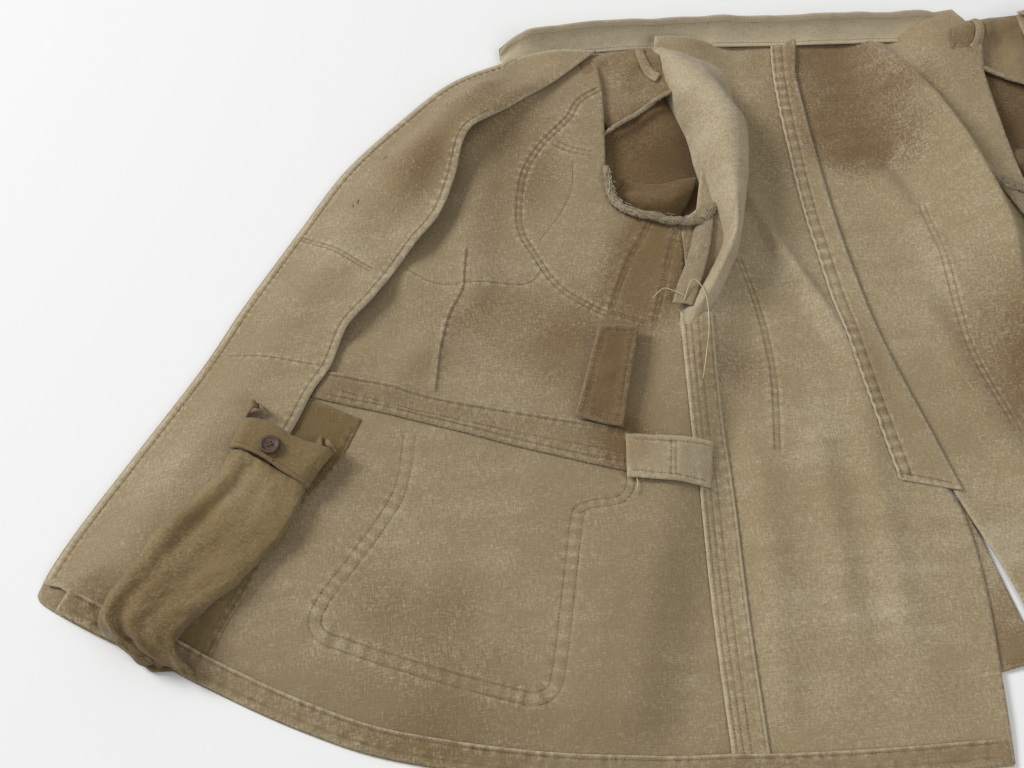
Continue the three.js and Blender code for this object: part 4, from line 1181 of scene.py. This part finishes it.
def armhole_fold(half):
    """The fold of the back that stands beside the armhole and leans over the back."""
    sections = [
        [(166, 352, 9), (160, 352, 15), (150, 352, 18), (138, 352, 15), (122, 353, 8), (104, 354, 3)],
        [(158, 328, 9), (150, 327, 24), (138, 326, 31), (122, 327, 26), (104, 328, 13), (86, 329, 3)],
        [(151, 295, 6), (145, 294, 26), (128, 293, 38), (110, 292, 35), (96, 291, 19), (84, 290, 3)],
        [(146, 264, 5), (139, 264, 26), (120, 262, 43), (101, 260, 41), (90, 258, 24), (90, 257, 3)],
        [(141, 240, 5), (133, 240, 26), (114, 239, 44), (96, 238, 42), (86, 237, 25), (92, 236, 3)],
        [(139, 205, 5), (131, 205, 27), (116, 204, 44), (101, 203, 42), (91, 203, 24), (98, 202, 3)],
        [(137, 162, 6), (130, 162, 27), (119, 161, 43), (109, 160, 41), (101, 160, 24), (108, 160, 3)],
        [(134, 121, 8), (128, 121, 26), (122, 120, 40), (118, 120, 39), (114, 119, 22), (121, 119, 4)],
        [(146, 95, 10), (140, 94, 24), (134, 93, 36), (129, 92, 35), (125, 91, 18), (131, 91, 5)],
        [(172, 60, 15), (167, 58, 23), (160, 55, 29), (154, 53, 27), (150, 52, 15), (157, 52, 7)],
        [(188, 36, 17), (183, 34, 21), (177, 32, 23), (172, 31, 21), (169, 30, 15), (174, 30, 9)],
        [(192, 14, 17.5), (190, 13, 18.4), (186, 12, 18.6), (182, 12, 18), (180, 12, 15), (183, 12, 11)],
    ]
    # pale=0.55 lightens the whole fold: a painted highlight for the light falling on it.
    piece = loft(f"{half}_armhole_fold", sections, BACK_KHAKI, half, rows=60, step=FINE_GRID, rumple=0.9,
                 size=30, seed=51, pale=0.55)
    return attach(piece, "back")


def centre_strip():
    """The pleat down the centre back, and the cloth that lies under the vent."""
    left = curve(places((-34, 364), (-43, 289), (-47, 161), (-44, 70), (-40, -1), (-29, -136)))
    right = curve(places((-8, 360), (-15, 330), (-20, 290), (-20, 134), (-13, 30), (-2, -40), (21, -152)))
    ring = ring_of(left, right[::-1])
    seams = [
        Seam(way=beside_way(left, 3), rows=(0, 8), pucker=0.7, pitch=12, sunk=0.7),
        Seam((-26, -130), (14, -144), pucker=0.3, pitch=8),
    ]
    piece = lay("centre_back_pleat", "left", ring, 1.1, BACK_KHAKI, seams, seed=10, grid=BAND_GRID,
                worn_edge=0.8, lift=lambda xy: 1.6 * MM * near_zero(measure(right, xy)[1], 8 * MM))
    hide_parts("centre_back_strip")
    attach(piece, "back")
    underlay = lay("vent_cloth", "left", corners((8, -158), (6, -308), (44, -302), (20, -160)), -0.2,
                   BACK_KHAKI, seed=12, thickness=0.8 * MM, browned=0.4)
    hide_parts("vent_underlay")
    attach(underlay, "back")
    return piece, underlay


def mending_patch():
    """A pale patch over the side seam at the waist."""
    ring = corners((252, -74), (214, -80), (178, -85), (188, -127), (222, -121), (257, -114))
    seams = [
        Seam((249, -79), (214, -85), (182, -89), pucker=0.35, pitch=7, wear=0.4),
        Seam((190, -121), (222, -115), (252, -108), pucker=0.35, pitch=7, wear=0.4),
        Seam((211, -84), (217, -117), rows=(0, 4), pucker=0.4, pitch=7, wear=0.5),
    ]
    piece = lay("right_waist_mend", "right", ring, 2.4, MEND, seams, seed=13, grid=FINE_GRID,
                thickness=0.9 * MM, lift=lambda xy: 0.5 * MM * ripple(xy, 7 * MM, 71, 3))
    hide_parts("right_waist_patch")
    return across_fold(piece, "right")


# ---- Armhole, sleeve and shoulder ---------------------------------------------------------------

SLEEVE_TOP = 150  # the sleeve's lengths are measured down from here


def sleeve_place(down, out, height):
    """A place on the sleeve, given down it, out from its middle and up."""
    x = SLEEVE_X / MM + down * math.sin(SLEEVE_TURN) + out * math.cos(SLEEVE_TURN)
    y = SLEEVE_TOP - down * math.cos(SLEEVE_TURN) + out * math.sin(SLEEVE_TURN)
    return x, y, height


def sleeve_under(half):
    """The layer of the sleeve on the floor, with both long edges turned over."""
    shape = ((-0.55, 1.0), (-0.9, 0.8), (-1.0, 0.45), (-0.9, 0.1), (-0.45, 0.0), (0, 0.0), (0.45, 0.0),
             (0.9, 0.1), (1.0, 0.45), (0.9, 0.8), (0.55, 1.0))
    sections = [[sleeve_place(down, out * (61 - down * 0.025), 2.0 + rise * 5.4) for out, rise in shape]
                for down in (0, 60, 120, 180, 240, 300, 360, 389)]
    piece = loft(f"{half}_sleeve_under", sections, SLEEVE, half, rows=56, step=4 * MM, rumple=0.7, size=34,
                 seed=61, thickness=1 * MM, brown=0.2, offset=0.0)
    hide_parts(f"{half}_top_sleeve")
    return piece


def sleeve_over(half):
    """The layer of the sleeve that lies uppermost."""
    sections = [[sleeve_place(down, out * (58 - down * 0.025), 8.9 + 1.2 * (1 - out * out))
                 for out in (-1, -0.5, 0, 0.5, 1)] for down in (24, 90, 160, 230, 300, 360, 388)]
    piece = loft(f"{half}_sleeve_over", sections, SLEEVE, half, rows=44, step=4 * MM, rumple=1.3, size=44,
                 seed=62, thickness=1 * MM, offset=0.0, pale=0.15)
    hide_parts(f"{half}_under_sleeve")
    return piece


def sleeve_cap(half):
    """The head of the sleeve, which shows through the armhole."""
    return loft(f"{half}_sleeve_cap", [
        [(230, 128, 5), (210, 126, 4), (190, 124, 4), (172, 122, 4), (158, 120, 5)],
        [(232, 150, 7), (214, 150, 5), (190, 150, 4), (166, 150, 3), (148, 150, 4)],
        [(232, 180, 9), (214, 180, 7), (186, 180, 5), (152, 180, 6), (136, 180, 3)],
        [(232, 215, 10), (214, 215, 8), (190, 215, 7), (157, 216, 8), (134, 215, 3)],
        [(230, 250, 10), (214, 250, 9), (190, 250, 8), (158, 252, 9), (134, 250, 3)],
        [(224, 285, 9), (210, 285, 9), (190, 285, 8), (162, 286, 8), (140, 285, 3)],
        [(216, 325, 7), (206, 325, 7), (190, 325, 6), (172, 325, 5), (156, 325, 3)],
    ], SLEEVE, half, rows=60, step=FINE_GRID, rumple=0.8, size=40, seed=65, thickness=1 * MM, brown=0.2)


def sleeve_turning(half):
    """The crumpled cloth where the sleeve turns in under the armhole."""
    return loft(f"{half}_sleeve_turning", [
        [(226, 172, 8), (212, 168, 9), (196, 160, 9), (178, 154, 8), (164, 152, 6)],
        [(222, 182, 9), (206, 176, 14), (190, 168, 16), (170, 164, 15), (154, 164, 9)],
        [(214, 190, 9), (200, 186, 11), (186, 178, 12), (164, 176, 17), (146, 178, 12)],
        [(206, 200, 8.5), (194, 194, 9), (178, 190, 10), (160, 190, 13), (140, 194, 9)],
    ], SLEEVE, half, rows=44, step=2.2 * MM, rumple=1.6, size=20, seed=66, thickness=1 * MM, offset=0.0,
        brown=0.1, pale=0.1)


def cuff(half):
    """The flat doubled cuff, in one band all round."""
    shape = ((0, -1), (-0.6, -1), (-0.95, -0.8), (-1, 0), (-0.95, 0.8), (-0.6, 1), (0, 1), (0.6, 1),
             (0.95, 0.8), (1, 0), (0.95, -0.8), (0.6, -1), (0, -1))
    sections = [[sleeve_place(down, out * 54.0, 5.2 + rise * 4.6) for out, rise in shape]
                for down in (390.5, 404, 418, 430, 442)]
    piece = loft(f"{half}_cuff_band", sections, SLEEVE, half, rows=90, rumple=0.2, size=14, seed=64,
                 thickness=1.4 * MM, brown=0.3)
    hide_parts(f"{half}_cuff")
    return piece


FRAY_STRANDS = 520


def armhole_binding(half):
    """The frayed binding round the lower edge of the armhole."""
    side, seed = HALVES[half], 71 if half == "right" else 72
    way = curve(places((225, 208, 22), (226, 190, 22.5), (225, 172, 23), (218, 157, 24), (200, 147, 25),
                       (182, 139, 25), (160, 134, 24), (142, 140, 22), (130, 153, 19), (124, 166, 14)),
                1.4 * MM)
    along = np.column_stack([np.linspace(0, 1, len(way)), np.zeros(len(way))])
    wobble = ripple(along * 0.3, 9 * MM, seed, 2)
    way = (way + np.column_stack([0 * wobble, wobble * 0.9 * MM, wobble * 0.7 * MM])) * (side, 1, 1)
    roll = tube(f"{half}_armhole_roll", way, 4.3 * MM, TAPE, sides=14, seed=seed, fray=0.2, flatten=0.6)
    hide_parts(f"{half}_armhole_binding")
    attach(roll, "back")
    core = way + (0, 0, 0.4 * MM)
    rng = np.random.default_rng(seed)
    strands = []
    for _ in range(FRAY_STRANDS):
        at = rng.integers(4, len(core) - 5)
        here = core[at] + rng.normal(0, 2.0 * MM, 3) * (1, 1, 0.3) + (0, 0, 2.0 * MM)
        run = core[min(at + rng.integers(2, 4), len(core) - 1)] - core[at]
        run = run + rng.normal(0, 1.2 * MM, 3) * (1, 1, 0.5)
        strands.append((Vector(here), Vector(here + run * 1.3)))
    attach(stitch_mesh(f"{half}_armhole_fray", strands, TAPE_THREAD, 0.26 * MM), "back")
    high = curve(places((222, 250, 16), (204, 261, 17), (182, 273, 17), (162, 287, 18), (146, 294, 19),
                        (130, 297, 18)), 1.6 * MM)
    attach(tube(f"{half}_armhole_top_roll", high * (side, 1, 1), 2.6 * MM, TAPE, sides=12, seed=seed + 2,
                 fray=0.3, flatten=0.6), "back")


def seam_tape(half):
    """The loose tape that hangs down from the armhole."""
    return loft(f"{half}_seam_tape", [
        [(148, 150, 20), (141, 149, 22), (134, 148, 21)],
        [(158, 122, 22), (150, 118, 24), (143, 114, 23)],
        [(170, 92, 24), (162, 88, 26), (154, 84, 25)],
        [(183, 66, 25.5), (174, 62, 27), (166, 58, 26)],
        [(191, 48, 25.5), (182, 46, 26.5), (174, 43, 25.5)],
    ], TAPE, half, rows=12, step=1.8 * MM, rumple=1.0, size=10, seed=75 if half == "right" else 76,
        thickness=0.8 * MM, offset=0.0)


def shoulder_bridge(half):
    """The cloth that runs over the top of the armhole and sags into it."""
    # brown=0.55 darkens this cloth: painted shade for the shadow in its sag over the armhole.
    return loft(f"{half}_shoulder_bridge", [
        [(234, 350, 19), (230, 330, 19), (224, 300, 15), (219, 276, 14), (215, 258, 12)],
        [(216, 351, 19), (212, 338, 20), (207, 312, 14), (201, 290, 13), (196, 268, 14)],
        [(198, 352, 18), (194, 344, 20), (190, 326, 15), (184, 304, 13), (178, 279, 14)],
        [(182, 352, 17), (179, 346, 21), (176, 332, 21), (170, 312, 14), (160, 289, 15)],
        [(166, 352, 16), (163, 346, 20), (160, 334, 23), (154, 316, 19), (146, 298, 17)],
        [(150, 352, 13), (147, 347, 17), (143, 338, 22), (138, 322, 21), (132, 304, 18)],
    ], BACK_KHAKI, half, rows=56, step=2.4 * MM, rumple=2.6, size=26, seed=81 if half == "right" else 82,
        brown=0.55, pale=-0.05, offset=1.0)


def shoulder_seam(half):
    """The doubled seam that comes down from the neck over the armhole, on top of the cloth there."""
    way = curve(places((170, 350), (171, 343), (170, 332), (164, 318), (154, 308)), 2.4 * MM)
    half_width, thickness = 4.5 * MM, 1.1 * MM
    crown = np.array([0.5, 1.3, 1.6, 1.3, 0.5]) * MM + thickness
    ribs = []
    for middle, left, right in zip(way, shift(way, half_width), shift(way, -half_width)):
        across = [left, (left + middle) / 2, middle, (right + middle) / 2, right]
        rib = [found_from_above(f"{half}_shoulder_bridge", x * HALVES[half], y) for x, y in across]
        if all(rib):
            ribs.append([(spot.x * HALVES[half] / MM, spot.y / MM, (spot.z + rise) / MM)
                         for spot, rise in zip(rib, crown)])
    return loft(f"{half}_shoulder_seam", ribs[::3] if len(ribs) > 15 else ribs, BACK_KHAKI, half, rows=10,
                step=2 * MM, rumple=0.25, size=9, seed=84, thickness=thickness, brown=0.3, pale=0.1)


# ---- Collar -------------------------------------------------------------------------------------

COLLAR_TOP = ((-306, 374), (-284, 384), (-204, 387), (-105, 381), (-6, 372), (60, 367), (120, 363),
              (150, 361))


def collar():
    """The stand rises from the neck seam to its fold, and the leaf comes down behind it."""
    top = curve(places(*COLLAR_TOP), 16 * MM) / MM
    stand, leaf = [], []
    for k, (x, y) in enumerate(top):
        end = min(1.0, 0.35 + k / 3, 0.35 + (len(top) - 1 - k) / 2.5)
        wave = 1.5 * math.sin(x / 19.0) + 1.0 * math.sin(x / 7.3)
        high = 25 * end + wave * 0.6
        stand.append([(x, y - 24, 7), (x, y - 17, 9 + wave * 0.4), (x, y - 8, 0.62 * high),
                      (x, y - 2, 0.93 * high), (x, y + 0.5, high), (x, y + 2.4, high - 2.2)])
        leaf.append([(x, y + 3.2, high - 3.5), (x, y + 5.5, high * 0.6), (x, y + 6.5, high * 0.3),
                     (x, y + 4, 2.2), (x, y - 6, 1.6)])
    front = loft("collar_stand_cloth", [rib[::-1] for rib in stand], BACK_KHAKI, rows=30, rumple=0.7,
                 size=26, seed=91, pale=0.95)
    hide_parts("collar_stand")
    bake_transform(front, "back", "collar", start=(0, 0.345, 0), end=(0, 0.366, 0))
    back = loft("collar_leaf_cloth", [rib[::-1] for rib in leaf], KHAKI, rows=22, step=4 * MM, rumple=0.6,
                size=30, seed=92)
    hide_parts("collar_leaf")
    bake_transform(back, "back", "collar", start=(0, 0.350, 0), end=(0, 0.366, 0))
    for drop in (4, 20):
        sew(front.name, "left", Seam(*[(x, y - drop) for x, y in COLLAR_TOP]))
    return front, back


# ---- Loose threads ------------------------------------------------------------------------------

def loose_threads():
    """Broken ends of sewing thread that stand off the cloth, each held by its other end."""
    ends = {
        "right_seam_loop": [(181, 48, 27), (170, 66, 32), (161, 52, 29), (163, 22, 26), (171, -8, 24),
                            (178, -30, 23)],
        "right_tape_end": [(178, 52, 27), (188, 58, 29), (195, 63, 27), (201, 61, 25), (207, 56, 24)],
        "right_patch_end": [(250, -108, 21), (249, -120, 21.5), (252, -128, 21)],
    }
    for name, points in ends.items():
        way = curve(places(*points), 1.5 * MM) * (HALVES["right"], 1, 1)
        body = "back" if points[0][0] < FOLD_LINE / MM else "right_front"
        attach(tube(name, way, 0.45 * MM, PALE_THREAD, sides=6), body)
    mark = [((460.5, 198), (457.5, 192.5)), ((463.5, 196.5), (462.5, 190)), ((457, 199), (458.5, 195))]
    pairs = [[found_from_above("right_facing_cloth", -x * MM, y * MM) for x, y in pair] for pair in mark]
    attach(stitch_mesh("right_facing_mark", pairs, BROWN_THREAD, 0.6 * MM), "right_front")


# ---- Assembly -----------------------------------------------------------------------------------

CLOTHS = []  # every sheet, how it is held and what it rests on


def cloth(made, held="laid", rests_on=()):
    pieces = made if isinstance(made, (list, tuple)) else [made]
    CLOTHS.extend((piece, held, list(rests_on)) for piece in pieces)


for half in HALVES:
    on_back, on_front = [f"{half}_back_cloth"], [f"{half}_front_cloth"]
    cloth(back_cloth(half))
    cloth(side_back_seam(half), rests_on=on_back)
    if half == "right":
        cloth(armhole_fold(half), "folded", on_back)
    cloth(front_cloth(half))
    for make in (waist_stay, facing, hem_band):
        cloth(make(half), rests_on=on_front)
    cloth(outside_patches(half))
    cloth(pocket_bag(half), "gathered", on_front)
    cloth(pocket_mouth(half), "folded", on_front)
    pleats = [pocket_pleat(half, *pleat) for pleat in PLEATS]
    cloth(pocket_lining(half), "laid", on_front)
    cloth(pleats, "folded", on_front)
    cloth(waist_tab(half), rests_on=on_front)
    sewn_button(half, "pocket", f"{half}_pocket", sunk=0.6 * MM, thread_rise=0.1 * MM)
    sewn_button(half, "cuff", f"{half}_sleeve", sunk=0, thread_rise=0.3 * MM)
    if half == "right":
        for number in range(1, 5):
            front_button(number)
    for make in (sleeve_under, sleeve_over, sleeve_cap, sleeve_turning, cuff):
        cloth(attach(make(half), f"{half}_sleeve"), "folded")
    armhole_binding(half)
    cloth(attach(seam_tape(half), "back"))
    cloth(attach(shoulder_bridge(half), "back"), "folded")
    cloth(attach(shoulder_seam(half), "back"), "folded")

cloth(centre_strip(), rests_on=["right_back_cloth"])
cloth(mending_patch(), rests_on=["right_waist_band"])
cloth(collar(), "folded")
loose_threads()

for piece, held, rests_on in CLOTHS:
    *sides, area = piece["cut"]
    width, length = (max(side, SMALLEST_CUT) for side in sides)
    min(area, width * length)

THREADS = {"khaki": THREAD, "dark": BROWN_THREAD}
for (name, thread), ends in STITCHES.items():
    stitches = stitch_mesh(f"{name}_stitching", ends, THREADS[thread])
    host = bpy.data.objects[name]
    if "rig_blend" in host:
        across_fold(stitches, "left" if name.startswith("left") else "right")
    else:
        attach(stitches, host["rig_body"])


# ---- Floor, light and camera --------------------------------------------------------------------

def studio():
    """A pale floor under a large soft window lamp, a weak fill lamp and the camera."""
    floor = Finish("pale_floor")
    soft = floor.noise(floor.place(), 3.0, 2.0)
    paper = floor.mix(soft * 0.12, (0.815, 0.815, 0.815, 1), (0.80, 0.80, 0.80, 1))
    floor.finish(Base_Color=paper, Roughness=0.8 + soft * 0.1)
    bpy.ops.object.select_all(action="DESELECT")
    bpy.ops.mesh.primitive_plane_add(size=8, location=(0, 0, -0.2 * MM))
    plane = bpy.context.active_object
    plane.name = "floor"
    plane.data.materials.append(floor.material)

    world = bpy.data.worlds.new("studio")
    world.use_nodes = True
    world.node_tree.nodes["Background"].inputs["Color"].default_value = (1.0, 1.0, 1.0, 1)
    world.node_tree.nodes["Background"].inputs["Strength"].default_value = 0.42
    bpy.context.scene.world = world

    def lamp(name, place, target, size, power):
        light = bpy.data.lights.new(name, "AREA")
        light.shape, light.size, light.size_y, light.energy = "RECTANGLE", size, size, power
        holder = bpy.data.objects.new(name, light)
        bpy.context.scene.collection.objects.link(holder)
        holder.location = place
        holder.rotation_euler = (Vector(target) - Vector(place)).to_track_quat("-Z", "Y").to_euler()

    lamp("window", place=(-4.4, 2.6, 3.2), target=(-0.2, 0, 0), size=2.0, power=300)
    lamp("fill", place=(1.6, -2.0, 2.4), target=(0.2, -0.2, 0), size=2.0, power=34)

    camera = bpy.data.objects.new("camera", bpy.data.cameras.new("camera"))
    bpy.context.scene.collection.objects.link(camera)
    camera.data.lens, camera.data.sensor_width = 51, 36
    camera.location = (-0.415, -0.630, 1.095)
    camera.rotation_euler = (math.radians(30), 0, math.radians(-6.9))
    bpy.context.scene.camera = camera
    bpy.context.scene.view_settings.view_transform = "Standard"


studio()
